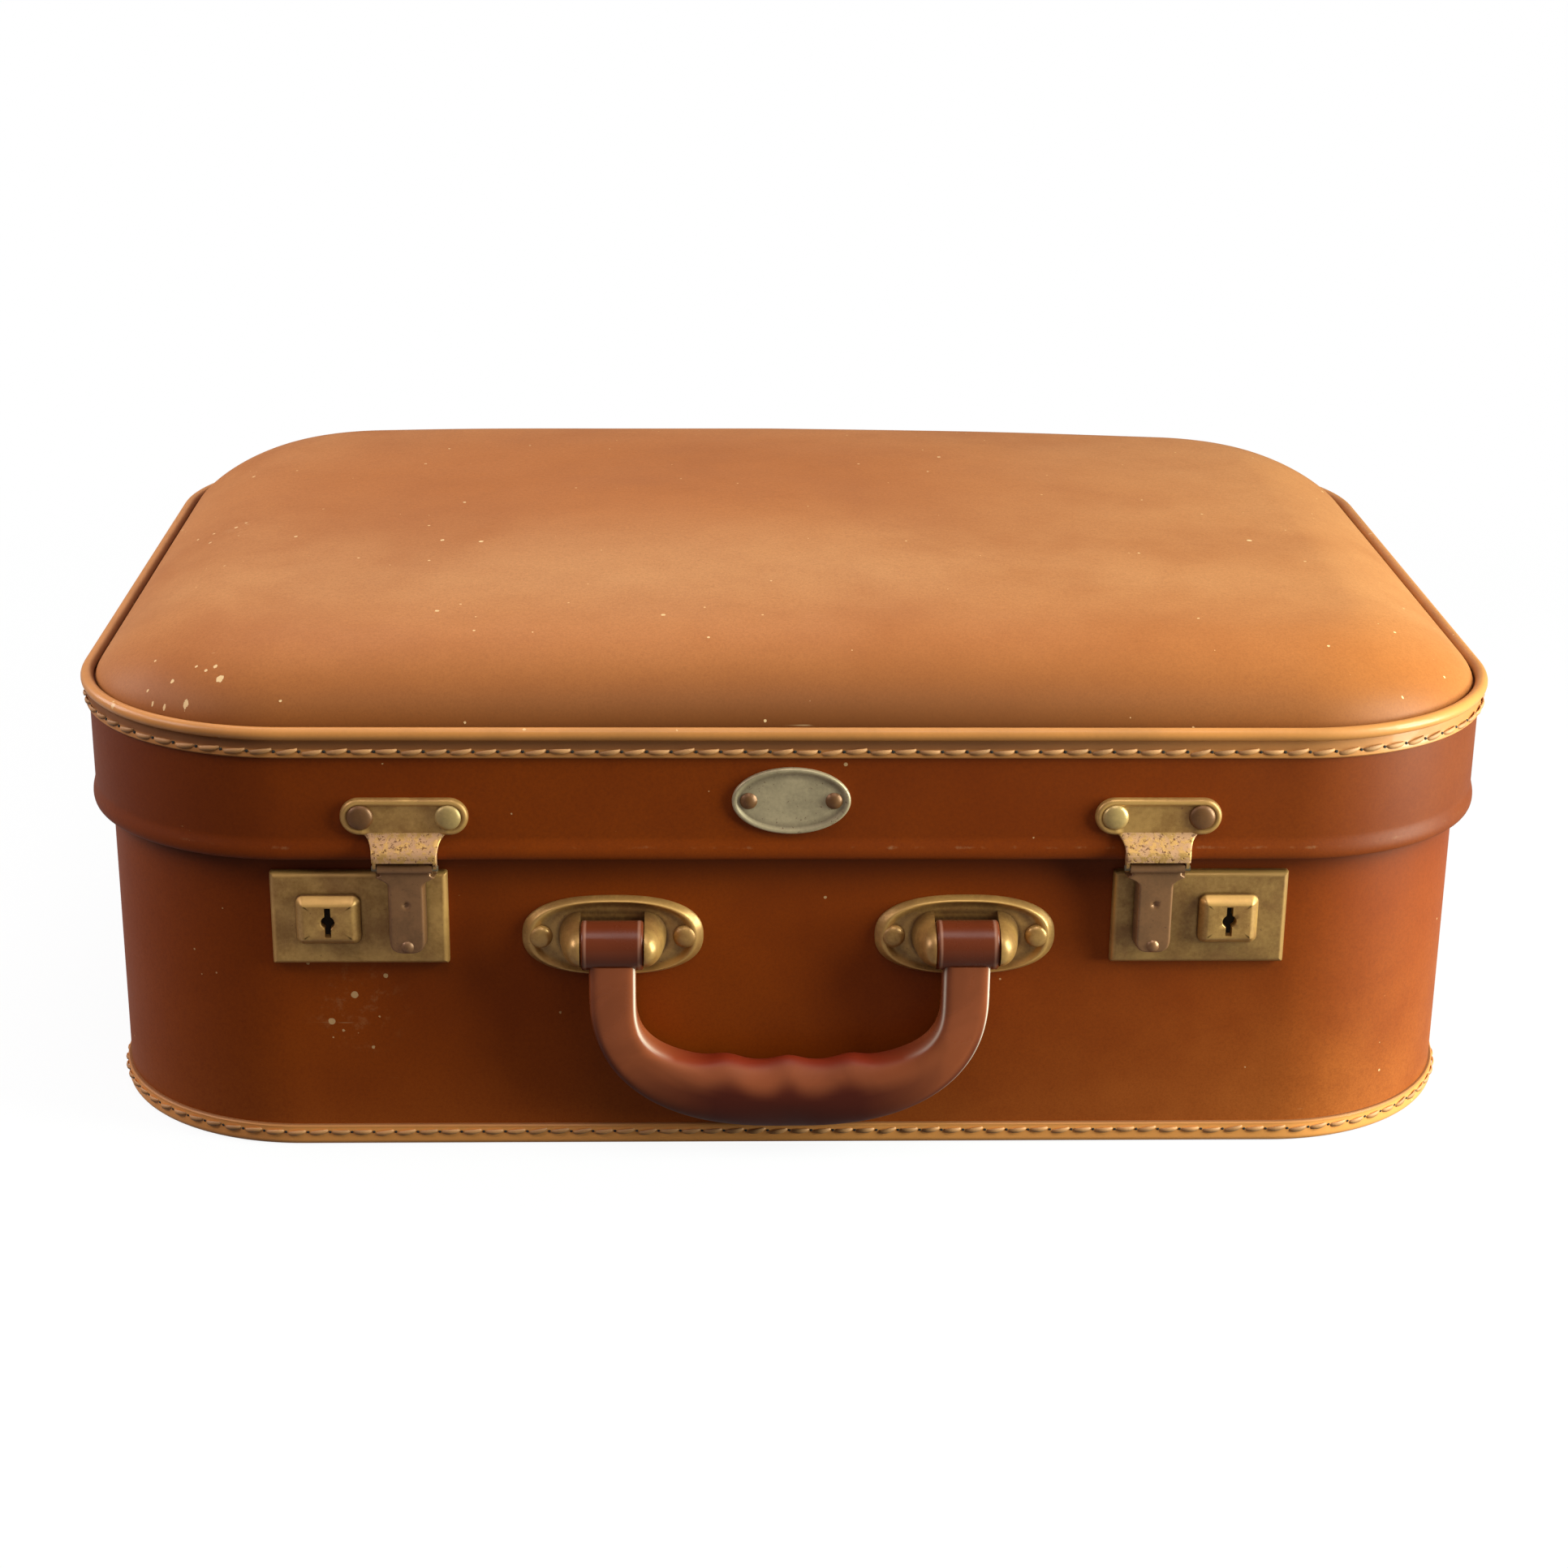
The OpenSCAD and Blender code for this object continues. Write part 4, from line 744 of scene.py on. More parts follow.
def rivet_heads(piece, spots, seat, radius, height, finish):
    """Adds a domed head at each (x, z): rings that close in as a power of the cosine while the dome
    rises as the sine, so that its side is nearly upright."""
    climb = np.radians([0, 8, 20, 34, 48, 62, 75, 85])
    shares = np.append(1.0, np.cos(climb) ** 0.8)
    rise = np.append(-0.4, 0.12 + 0.88 * np.sin(climb))
    turn = full_turn(40)
    for (x, z), slot in zip(spots, finish):
        rings = front(x + radius * shares[:, None] * np.cos(turn), seat + height * rise[:, None],
                      z + radius * shares[:, None] * np.sin(turn))
        # Painted shade: the foot of each head is darker
        foot = np.where(shares == 1, 0.75, 0)[:, None] * np.ones(len(turn))
        piece.closed(rings, slot, grime=foot)


def outline(half_w, half_h, radius, count):
    """Points and outward normals along a rounded rectangle, evenly spaced and anticlockwise from the
    middle of its upper side, and the distance of each from there."""
    quarter = np.linspace(0, np.pi / 2, 33)
    turn = np.concatenate([np.pi / 2 + quarter + k * np.pi / 2 for k in range(4)])
    sign_x = np.repeat([-1, -1, 1, 1], len(quarter))
    sign_y = np.repeat([1, -1, -1, 1], len(quarter))
    normals = np.stack([np.cos(turn), np.sin(turn)], -1)
    centres = np.stack([sign_x * (half_w - radius), sign_y * (half_h - radius)], -1)
    ends = [[0, half_h]]
    points = np.vstack([ends, centres + radius * normals, ends])
    normals = np.vstack([[[0, 1]], normals, [[0, 1]]])
    run = np.append(0, np.cumsum(np.linalg.norm(np.diff(points, axis=0), axis=1)))
    even = np.linspace(0, run[-1], count, endpoint=False)
    sample = lambda values: np.stack([np.interp(even, run, values[:, k]) for k in range(2)], -1)
    smooth = sample(normals)
    return sample(points), smooth / np.linalg.norm(smooth, axis=1, keepdims=True), even


def around_case(off, height, count=720):
    """A profile of (distance from the base wall, height) carried around the case:
    each point of the outline moves along its normal by the distance."""
    points, normals, _ = outline(HALF_W, HALF_D, bpy.context.scene.suitcase_case.corner_r, count)
    off = np.broadcast_to(off, (count, np.shape(off)[-1]))
    flat = points[:, None, :] + off[..., None] * normals[:, None, :]
    return np.concatenate([flat, np.broadcast_to(height, off.shape)[..., None]], axis=-1)


class Track:
    """The outline of the base wall, read at any distance from its start."""

    def __init__(self, count):
        points, normals, run = outline(HALF_W, HALF_D, bpy.context.scene.suitcase_case.corner_r, count)
        self.total = run[-1] + run[1]
        self.run = np.append(run, self.total)
        self.values = np.hstack([points, normals]).T

    def __call__(self, place):
        """The x and y of each place, and of its outward normal."""
        return [np.interp(place % self.total, self.run, np.append(v, v[0])) for v in self.values]


def waves(a, b, seed):
    """Slow uneven waves between -1 and 1: a few crossed sines of the two parameters in metres."""
    turns = np.random.default_rng(seed).uniform(0, 2 * np.pi, 5)
    return (np.sin(a * 21 + turns[0]) * np.sin(b * 26 + turns[1]) * 0.45
            + np.sin(a * 37 + b * 17 + turns[2]) * 0.3 + np.sin(a * 58 - b * 44 + turns[3]) * 0.15
            + np.sin(b * 71 + turns[4]) * 0.1)


def box_reach(turn, half_w, half_h):
    """Distance from the middle of a rectangle to its edge, in each direction."""
    return np.minimum(half_w / np.maximum(np.abs(np.cos(turn)), 1e-9),
                      half_h / np.maximum(np.abs(np.sin(turn)), 1e-9))


def front(x, off, z):
    """Points given by x, distance in front of the base wall, and height."""
    x, off, z = np.broadcast_arrays(x, off, z)
    return np.stack([x, -(HALF_D + off), z], axis=-1)


def arc(centre, radius, start, end, count):
    """Points on a circle from one angle to another, in degrees."""
    turn = np.radians(np.linspace(start, end, count))
    return np.stack([centre[0] + radius * np.cos(turn), centre[1] + radius * np.sin(turn)], -1)


def turned(axis, x, radius, count):
    """Rings around a line along x: each point of a profile of (x, radius) swings around it."""
    turn = full_turn(count)
    radius = np.broadcast_to(radius, np.shape(x))[:, None]
    return np.stack(np.broadcast_arrays(np.asarray(x)[:, None], axis.y + radius * np.cos(turn),
                                        axis.z + radius * np.sin(turn)), -1)


def dense(points, step):
    """A path of straight runs, resampled about evenly, with its corners kept."""
    points = np.asarray(points, float)
    gaps = np.linalg.norm(np.diff(points, axis=0), axis=1)
    parts = [np.linspace(a, b, max(1, int(round(g / step))), endpoint=False)
             for a, b, g in zip(points[:-1], points[1:], gaps)]
    return np.vstack([*parts, points[-1:]])


def oval_rings(half_w, half_h, insets, heights, count=96):
    """Rings of an oval, drawn in by insets and raised by heights."""
    turn = full_turn(count)
    x = (half_w - np.asarray(insets))[:, None] * np.cos(turn)
    z = (half_h - np.asarray(insets))[:, None] * np.sin(turn)
    return x, np.broadcast_to(np.asarray(heights)[:, None], x.shape), z


def sheet_strip(path, half, thick):
    """A bent strip of sheet metal: each point of a path of (distance, height) widens to a half width
    along x, the other face lies to the left of the path, and both long edges are eased."""
    tangent = np.gradient(path, axis=0)
    left = np.stack([-tangent[:, 1], tangent[:, 0]], -1)
    left /= np.linalg.norm(left, axis=1, keepdims=True)
    half = np.broadcast_to(half, len(path))[:, None]
    flat = (half - 0.5 * MM) * np.linspace(-1, 1, 21)
    across = np.concatenate([-half, 0.15 * MM - half, flat, half - 0.15 * MM, half], 1)
    ease = 0.3 * MM * np.array([1, 0.35, *np.zeros(21), 0.35, 1])
    near = path[:, None] + ease[None, :, None] * left[:, None]
    far = path[:, None] + (thick - ease)[None, :, None] * left[:, None]
    return np.concatenate([across, across[:, ::-1]], 1), np.concatenate([near, far[:, ::-1]], 1)


class SUITCASE_OT_walls(bpy.types.Operator):
    """Build the base wall and the lid wall with its rolled hem"""
    bl_idname = "suitcase.walls"
    bl_label = "Walls"

    def execute(self, context):
        case = context.scene.suitcase_case
        thick = case.fibre_t
        low, high = WALL_LO.z, WALL_HI.z
        ease, ease_in = 0.6 * MM, 0.4 * MM
        profile = dense([[0, low], [0, high - ease], [-ease, high], [-thick + ease_in, high],
                         [-thick, high - ease], [-thick, low], [0, low]], 2 * MM)[:-1]
        points = around_case(profile[:, 0], profile[:, 1])
        x, z = points[..., 0], points[..., 2]
        # Wear rubs the wall near the floor. Painted shadow darkens it under the lid's hem and painted shade
        # towards its left end; it is paler with dust near the floor and with painted light towards the
        # lower right.
        wear = 0.35 * np.exp(-(z - low) / (9 * MM))
        left = 0.14 * ramp(-x - 0.15, 0.06)
        grime = np.maximum(np.exp(-np.clip(LID_LO.z - z, 0, None) / (5.5 * MM)), left)
        faded = 0.35 * np.exp(-(z - low) / (14 * MM)) + 0.75 * ramp(x, 0.18) * ramp(0.09 - z, 0.075)
        wall = Piece("base_wall")
        wall.grid(points, True, True, wear=wear, grime=grime, faded=np.clip(faded, 0, 1))
        wall.finish("base", [wall_fibre()], "base_band", "fibre_wall")
        self.lid(case)
        return {"FINISHED"}

    def lid(self, case):
        """The hem rounds out from its lower edge as a quarter circle and fades back into the wall as
        half a cosine wave."""
        off = lid_face()
        low, high = LID_LO.z, LID_HI.z
        turn = np.radians(np.linspace(0, 90, 8))
        full = case.hem_h * 0.42
        fade = np.linspace(0, 1, 14)[1:]
        under = np.stack([off + case.hem_t * np.sin(turn), low + full * (1 - np.cos(turn))], -1)
        over = np.stack([off + case.hem_t * (1 + np.cos(np.pi * fade)) / 2,
                         low + full + 1.05 * case.hem_h * fade], -1)
        inner = off - case.fibre_t
        rest = [[off, over[-1, 1] + 1 * MM], [off, high], [inner, high], [inner, low]]
        profile = np.vstack([under, over, dense(rest, 5 * MM)])
        points = around_case(profile[:, 0], profile[:, 1])
        ridge = bell(profile[:, 1] - low - case.hem_h * 0.8, 1.3 * MM) * (profile[:, 0] > off)
        wear = ridge * 0.5 * np.ones((len(points), 1))
        x = points[..., 0]
        # Painted shade darkens the lid's wall, more towards both ends and most at the right end, which
        # painted light also tints towards the paler wall colour
        right = ramp(x - 0.12, 0.09)
        grime = 0.2 + 0.38 * right + 0.2 * ramp(-x - 0.1, 0.1)
        wall = Piece("lid_wall")
        wall.grid(points, True, True, wear=wear, grime=grime, faded=0.4 * right)
        wall.finish("lid", [wall_fibre()], "lid_band", "fibre_wall")


class SUITCASE_OT_panel(bpy.types.Operator):
    """Build the crowned lid panel and the lining under it"""
    bl_idname = "suitcase.panel"
    bl_label = "Lid panel"

    def rings(self, case, depth, turns, shares):
        """Rings that follow the outline in over a quarter superellipse, flatter along the two sides,
        and then shrink to the middle. The crown adds the product of two parabolas, the sag takes
        away a slope towards one corner, and depth moves in along the normal."""
        off = PANEL_HI.x - HALF_W
        edge_z = PANEL_HI.z - case.shoulder_h - case.crown_h
        count = 480
        _, normals, _ = outline(HALF_W, HALF_D, case.corner_r, count)
        power = 2 - case.side_ease * normals[:, :1] ** 2
        along, up = np.clip(np.cos(turns), 0, 1), np.sin(turns)
        bent = 2 - 2 / power
        rise = np.stack([case.shoulder_h * along ** bent, case.shoulder_w * up ** bent], -1)
        rise /= np.linalg.norm(rise, axis=-1, keepdims=True)
        inset = case.shoulder_w * (1 - along ** (2 / power)) + depth * rise[..., 0]
        z = edge_z + case.shoulder_h * up ** (2 / power) - depth * rise[..., 1]
        points = around_case(off - inset, z, count).transpose(1, 0, 2)
        inner = points[-1] * np.stack([shares, shares, np.ones_like(shares)], -1)[:, None, :]
        inner[..., 2] = edge_z + case.shoulder_h - depth
        rings = np.concatenate([points, inner])
        x, y = rings[..., 0], rings[..., 1]
        crown = case.crown_h * (1 - (x / PANEL_HI.x) ** 2) * (1 - (y / PANEL_HI.y) ** 2)
        inward = np.append(np.sin(turns), np.ones_like(shares))[:, None]
        sag = case.sag_h * ramp(x, PANEL_HI.x) * ramp(1 + y / PANEL_HI.y, 2)
        rings[..., 2] += crown + inward * (case.wave_h * (waves(x, y, 5) - 1) - sag)
        return rings

    def sheet(self, case, depth, thick, turns, shares):
        """Both faces of a crowned sheet, joined by a skirt that hangs straight down."""
        over = self.rings(case, depth, turns, shares)
        under = self.rings(case, depth + thick, turns, shares)
        skirt = np.stack([over[0], under[0]])
        skirt[..., 2] = PANEL_LO.z
        return np.concatenate([over[::-1], skirt, under])

    def tones(self, points, turns, rim):
        """Wear follows the squared cosine of the shoulder's turn, and so does painted shade, most of all at
        the front.
        The pale tone is a painted sheen: the lacquer is left rich inside an oval at the back, along the
        front and over the shoulder's crest."""
        x, y = points[..., 0], points[..., 1]
        steep = np.cos(turns)[:, None] ** 2
        forward = ramp(-y[rim], PANEL_HI.y)
        facing = forward ** 6
        wear, grime = np.zeros(x.shape), np.zeros(x.shape)
        wear[rim] = 0.2 * steep
        grime[rim] = steep * (0.04 + 0.42 * facing + 0.58 * bell(x[rim], 0.16) * forward ** 4)
        away = ((x + 0.05) / 0.16) ** 2 + ((y - 0.045) / 0.095) ** 2
        faded = (1 - bell(away, 1)) * (1 - 0.8 * ramp(-y - 0.09, 0.05)) * (1 - 0.15 * ramp(x, 0.2))
        crest = bell(turns - math.radians(34), math.radians(9))[:, None]
        faded[rim] *= (1 - steep * facing) * (1 - 0.8 * crest * facing)
        return {"wear": wear, "grime": grime, "faded": faded}

    def execute(self, context):
        case = context.scene.suitcase_case
        turns = np.radians(np.linspace(0, 90, 28))
        shares = np.linspace(0.96, 0.04, 34)
        points = self.sheet(case, 0, case.fibre_t, turns, shares)
        rim = slice(len(shares), len(shares) + len(turns))
        panel = Piece("lid_panel_crowned")
        panel.closed(points, **self.tones(points, turns[::-1], rim))
        panel.finish("lid", [panel_fibre()], "lid_panel", "fibre_panel")
        gap, paper = 0.15 * MM, 0.5 * MM
        ceiling = Piece("lid_ceiling_lining")
        ceiling.closed(self.sheet(case, case.fibre_t + gap, paper, turns, shares))
        ceiling.finish("lid", [lining_paper()], None, "lining")
        dress_node("lid_lining", lining_paper())
        dress_node("base_lining", lining_paper())
        dress_node("base_panel", wall_fibre(), 0.4 * MM)
        return {"FINISHED"}


class SUITCASE_OT_welts(bpy.types.Operator):
    """Build the piped welts and their stitches"""
    bl_idname = "suitcase.welts"
    bl_label = "Welts"

    def execute(self, context):
        case = context.scene.suitcase_case
        sewing = context.scene.suitcase_stitches
        self.lid_welt(case, sewing)
        self.base_welt(case, sewing)
        return {"FINISHED"}

    def lid_welt(self, case, sewing):
        """A round piping above a flat strip, with a crease between them."""
        bead = (LID_WELT_HI.x - HALF_W - case.bead_r, LID_WELT_HI.z - case.bead_r)
        face = lid_face()
        low = LID_WELT_LO.z
        strip = face + case.strip_t
        crease = bead[1] - case.bead_r * 1.02
        ease = 0.5 * MM
        flat = dense([[face, low], [strip - ease, low], [strip, low + ease],
                      [strip - 0.1 * MM, low + 1.6 * MM], [strip - 0.45 * MM, low + 2.4 * MM],
                      [face + 0.45 * MM, crease]], 0.6 * MM)
        profile = np.vstack([flat, arc(bead, case.bead_r, -75, 215, 22), [[face, crease]]])
        out, height = profile.T
        # Painted shade: the strip darkens under the piping's crease and on the piping's inner side, less
        # towards the right
        inner = ramp(bead[0] - 0.35 * case.bead_r - out, 0.4 * case.bead_r)
        below = ramp(crease + 0.7 * MM - height, MM)
        fold = (0.35 + 0.65 * ramp(height - low - 2.3 * MM, 0.8 * MM)) * below
        fold = np.maximum(fold, inner * (height > bead[1] - case.bead_r))
        points = around_case(out, height)
        lit = 1 - 0.65 * ramp(points[..., 0] - 0.06, 0.12)
        welt = Piece("lid_welt_piped")
        welt.grid(points, True, True, fold=fold * lit)
        welt.finish("lid", [welt_fibre()], "lid_welt", "welt")
        self.stitches("lid_stitches", "lid", sewing, strip - 0.2 * MM, low + 2.1 * MM, sewing.lid_pitch)

    def base_welt(self, case, sewing):
        """A flat strip that rolls under the case at its lower edge."""
        strip = BASE_WELT_HI.x - HALF_W
        top = BASE_WELT_HI.z
        roll = (strip - case.bead_r, case.bead_r)
        ease, under = 0.5 * MM, 2.6 * MM
        rest = [[strip, under], [strip, top - ease], [strip - ease, top], [0, top], [0, under]]
        profile = np.vstack([arc(roll, case.bead_r, 160, 360, 20), dense(rest, 1 * MM)])
        points = around_case(profile[:, 0], profile[:, 1])
        # Painted shade along the crease at the welt's top, and painted light over the whole welt
        fold = bell(points[..., 2] - top, ease)
        welt = Piece("base_welt_rolled")
        welt.grid(points, True, True, fold=fold, faded=np.ones(fold.shape))
        welt.finish("base", [welt_fibre()], "base_welt", "welt")
        self.stitches("base_stitches", "base", sewing, strip, top * 0.66, sewing.base_pitch)

    def stitches(self, name, body, sewing, off, seam, pitch):
        """Each stitch is a flat thread that arches out of the strip: a tube along a slanted chord,
        lifted and widened by sines, with its ends sunk in the strip."""
        track = Track(4000)
        number = int(track.total / pitch)
        start, cover = 0.06, 0.86
        along = np.linspace(0, 1, 8)
        turn = full_turn(6)
        place = (np.arange(number)[:, None] + start + cover * along) * (track.total / number)
        rng = np.random.default_rng(len(name))
        tilt = np.tan(sewing.slant) * (1 + 0.4 * rng.standard_normal((number, 1)))
        lift = sewing.thread_r * (1.7 * np.sin(np.pi * along) ** 0.6 - 0.7)
        wide = sewing.thread_r * (0.9 + 0.7 * np.sin(np.pi * along))[:, None]
        height = seam + (along - 0.5) * pitch * tilt + rng.normal(0, 0.12 * MM, (number, 1))
        x, y, nx, ny = (v[..., None] for v in track(place))
        reach = (off + lift)[..., None] + 0.65 * sewing.thread_r * np.cos(turn)
        tube = np.stack([x + nx * reach, y + ny * reach, height[..., None] + wide * np.sin(turn)], -1)
        thread = Piece(name)
        thread.shell(tube, [tube_faces(*tube.shape[:3])])
        self.holes(thread, place, track, off, seam)
        thread.finish(body, [sewing_thread(), dark_inside()], None, "welt", 80)

    def holes(self, thread, place, track, off, seam):
        """Painted shade of a needle hole between each stitch and the next: a low, dark six-sided dome on
        the strip.
        """
        middle = (place[:, -1:] + np.roll(place[:, :1], -1)) / 2
        middle[-1] = place[-1, -1] + (place[0, 0] + track.total - place[-1, -1]) / 2
        turn = full_turn(6)
        x, y, nx, ny = track(middle)
        wide, tall = 0.6 * MM, 0.5 * MM
        rings = []
        for share, rise in ((1, -0.3 * MM), (0.8, 0.12 * MM), (0.2, 0.2 * MM)):
            side = wide * share * np.cos(turn)
            rings.append(np.stack([x + nx * (off + rise) - ny * side, y + ny * (off + rise) + nx * side,
                                   seam + tall * share * np.sin(turn) + 0 * x], -1))
        dome = np.stack(rings, 1)
        thread.shell(dome, [tube_faces(*dome.shape[:3])], 1)


class SUITCASE_OT_hasps(bpy.types.Operator):
    """Build the hasp plates with their hoods, and the hinged hasps"""
    bl_idname = "suitcase.hasps"
    bl_label = "Hasps"

    def execute(self, context):
        self.sizes = context.scene.suitcase_fittings
        for name in SIDES:
            pin = joint_point(f"{name}_hasp_swing")
            self.plate(name, pin)
            self.hasp(name, pin)
            dress_node(f"{name}_hasp_pin", drawn_steel())
            dress_node(f"{name}_hasp_stud", worn_copper())
        self.rivets()
        return {"FINISHED"}

    def rivets(self):
        """Four heads; on each plate the one nearer the middle of the case is paler."""
        f = self.sizes
        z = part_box("left_hasp_plate")[1].z - f.plate_half_h
        mids = [joint_point(f"{name}_hasp_swing").x for name in SIDES]
        spots = [(mid + end * f.plate_rivet_x, z) for mid in mids for end in (-1, 1)]
        heads = Piece("hasp_plate_rivet_heads")
        rivet_heads(heads, spots, lid_face() + f.plate_t, f.plate_rivet_r, f.plate_rivet_h, [1, 0, 0, 1])
        heads.finish("lid", [pale_rivet(), brown_rivet()], "hasp_plate_rivets", "brassed_steel", 50)

    def plate(self, name, pin):
        """A pill-shaped pressing: its height follows the distance from its edge, with a raised
        border that fades out where the hood leaves the plate. The hood is a bent strip."""
        lo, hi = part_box(f"{name}_hasp_plate")
        half_w, half_h = (hi.x - lo.x) / 2, self.sizes.plate_half_h
        mid_z = hi.z - half_h
        seat = lid_face()
        points, normals, _ = outline(half_w, half_h, half_h * 0.999, 200)
        inset = np.array([0, 0.05, 0.3, 0.8, 1.3, 1.8, 2.2, 2.7, 3.4, 4.6, 5.8]) * MM
        border = np.array([0, 0.7, 1.35, 1.75, 1.85, 1.7, 1.35, 1.15, 1.1, 1.1, 1.1]) * MM
        flat = np.array([0, 0.7, 1.05] + [1.1] * 8) * MM
        at = points[None] - inset[:, None, None] * normals[None]
        waist = ramp(12.5 * MM - np.abs(at[..., 0]), 2 * MM) * ramp(-at[..., 1], MM)
        height = border[:, None] * (1 - waist) + flat[:, None] * waist
        top = front(pin.x + at[..., 0], seat + height, mid_z + at[..., 1])
        bottom = front(pin.x + points[:, 0], seat, mid_z + points[:, 1])
        plate = Piece(f"{name}_hasp_plate_pressed")
        back, face = front(pin.x, seat, mid_z), front(pin.x, seat + self.sizes.plate_t, mid_z)
        # Painted highlight: the crest of the border is lighter, most on its upper side
        crest = bell(inset - 1.3 * MM, 0.6 * MM)[:, None] * (1 - waist)
        wear = np.vstack([np.zeros((1, len(points))), crest * (0.3 + 0.5 * np.clip(normals[:, 1], 0, 1))])
        plate.grid(np.concatenate([bottom[None], top]), False, True, back, face, wear=wear)
        self.hood(plate, pin, seat, mid_z - half_h)
        plate.finish("lid", [worn_brass(), rusted_brass()], f"{name}_hasp_plate", "brassed_steel", 50)

    def hood(self, plate, pin, seat, plate_low):
        """The strip runs down the plate, slopes out, and turns down over the knuckle; it narrows
        as an exponential of the distance below the plate. Two ears hold the pin."""
        f = self.sizes
        out = -pin.y - HALF_D + 2.6 * MM
        low = pin.z + 2.6 * MM
        path = np.array([[seat + 0.9 * MM, plate_low + 1.4 * MM], [seat + 1.25 * MM, plate_low + 0.4 * MM],
                         [seat + 2.0 * MM, plate_low - 0.8 * MM], [out - 2.0 * MM, low + 4.2 * MM],
                         [out - 0.7 * MM, low + 3.0 * MM], [out, low + 1.7 * MM], [out + 0.05 * MM, low]])
        run = np.append(0, np.cumsum(np.linalg.norm(np.diff(path, axis=0), axis=1)))
        even = np.linspace(0, run[-1], 26)
        path = np.stack([np.interp(even, run, path[:, 0]), np.interp(even, run, path[:, 1])], -1)
        path[1:-1] = (path[:-2] + 2 * path[1:-1] + path[2:]) / 4
        below = np.clip(plate_low + 0.8 * MM - path[:, 1], 0, None)
        half = f.hood_half_w + (f.hood_root_w - f.hood_half_w) * np.exp(-below / (1.9 * MM))
        across, section = sheet_strip(path[::-1], half[::-1], f.hood_t)
        plate.bar(front(pin.x + across, section[..., 0], section[..., 1]), 1)
        ear = np.array([[seat + 1.6 * MM, plate_low - 1.2 * MM], [out - 1.2 * MM, low + 2.0 * MM],
                        [out - 1.4 * MM, pin.z + 0.6 * MM], [out - 2.4 * MM, pin.z - 1.2 * MM],
                        [out - 4.0 * MM, pin.z - 1.6 * MM], [seat + 1.3 * MM, pin.z - 0.6 * MM]])
        for end in (-1, 1):
            x = pin.x + end * np.array([9.5 * MM, 8.55 * MM])[:, None]
            sheet = front(x, ear[None, :, 0], ear[None, :, 1])
            plate.closed(sheet, 1)

    def hasp(self, name, pin):
        """A strap whose half width follows the height: full at the knuckle, drawn in by a smooth
        step to the strap, and a cubic curve at its end. Across, it is a flat face whose edges fall
        off as a quarter circle to sides that widen backwards."""
        lo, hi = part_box(f"{name}_hasp")
        f = self.sizes
        deep, end_h = f.strap_depth, f.strap_end_h
        slope, lip_r = 1.4 * MM, 0.9 * MM
        dimple_z, dimple_r, dimple_h = pin.z - 12 * MM, 0.95 * MM, 0.75 * MM
        off = -pin.y - HALF_D + 0.2 * MM
        sweep = np.linspace(0, 1, 16)[:-1]
        low = lo.z + 0.9 * MM
        rows = np.concatenate([low + end_h * sweep ** 2, np.linspace(low + end_h, pin.z + 0.6 * MM, 56)])
        drop = (pin.z - rows) / MM
        half = f.strap_top_w + (f.strap_half_w - f.strap_top_w) * (1 - (1 - ramp(drop - 3.4, 3.0)) ** 2.4)
        half = np.where(drop < 2.5, (hi.x - lo.x) / 2, half)
        short = ramp(low + end_h - rows, end_h)
        half = half * np.clip(1 - short ** 3, 0.02, 1) ** (1 / 3)
        bend = np.radians(np.linspace(0, 90, 7))
        share = np.linspace(-1, 1, 21)[1:-1]
        face = np.clip(half - slope, 0.05 * MM, None)
        lip = np.stack([np.sin(bend), np.cos(bend) - 1], -1) * lip_r
        right_x = face[:, None] + np.minimum(lip[:, 0], (half - face)[:, None] * 0.8)
        x = np.concatenate([-half[:, None], -right_x[:, ::-1], face[:, None] * share, right_x,
                            half[:, None]], 1)
        side = np.append(-deep, lip[::-1, 1])
        height = np.concatenate([side, np.zeros(len(share)), side[::-1]])
        edge = 0.8 * MM * (1 - round_edge(rows - low, 1 * MM)) + 1 * MM * ramp(2.4 - drop, 2.4) ** 1.5
        dimple = np.hypot(x, rows[:, None] - dimple_z)
        height = np.maximum(height - edge[:, None], -deep) - dimple_h * np.exp(-(dimple / dimple_r) ** 4)
        outer = front(pin.x + x, off + height, rows[:, None])
        inner = front(pin.x + x * 0.85, off + np.minimum(height - 0.9 * MM, -1.7 * MM), rows[:, None])
        inner[:, [0, -1], 1] = -(HALF_D + off - deep)
        ring = np.concatenate([outer, inner[:, ::-1]], axis=1)
        strap_piece = Piece(f"{name}_hasp_strap")
        # Painted shade: the folded-back sides of the strap are darker
        foot = np.where(height < -2 * MM, 0.8, 0)
        strap_piece.bar(ring, grime=np.concatenate([foot, 0 * foot], 1))
        self.knuckle(strap_piece, pin, (hi.x - lo.x) / 2)
        strap_piece.finish(f"{name}_hasp", [worn_copper()], f"{name}_hasp", "coppered_steel", 50)

    def knuckle(self, piece, pin, half):
        """A tube around the pin."""
        piece.closed(turned(pin, [pin.x - half, pin.x + half], self.sizes.knuckle_r, 24))


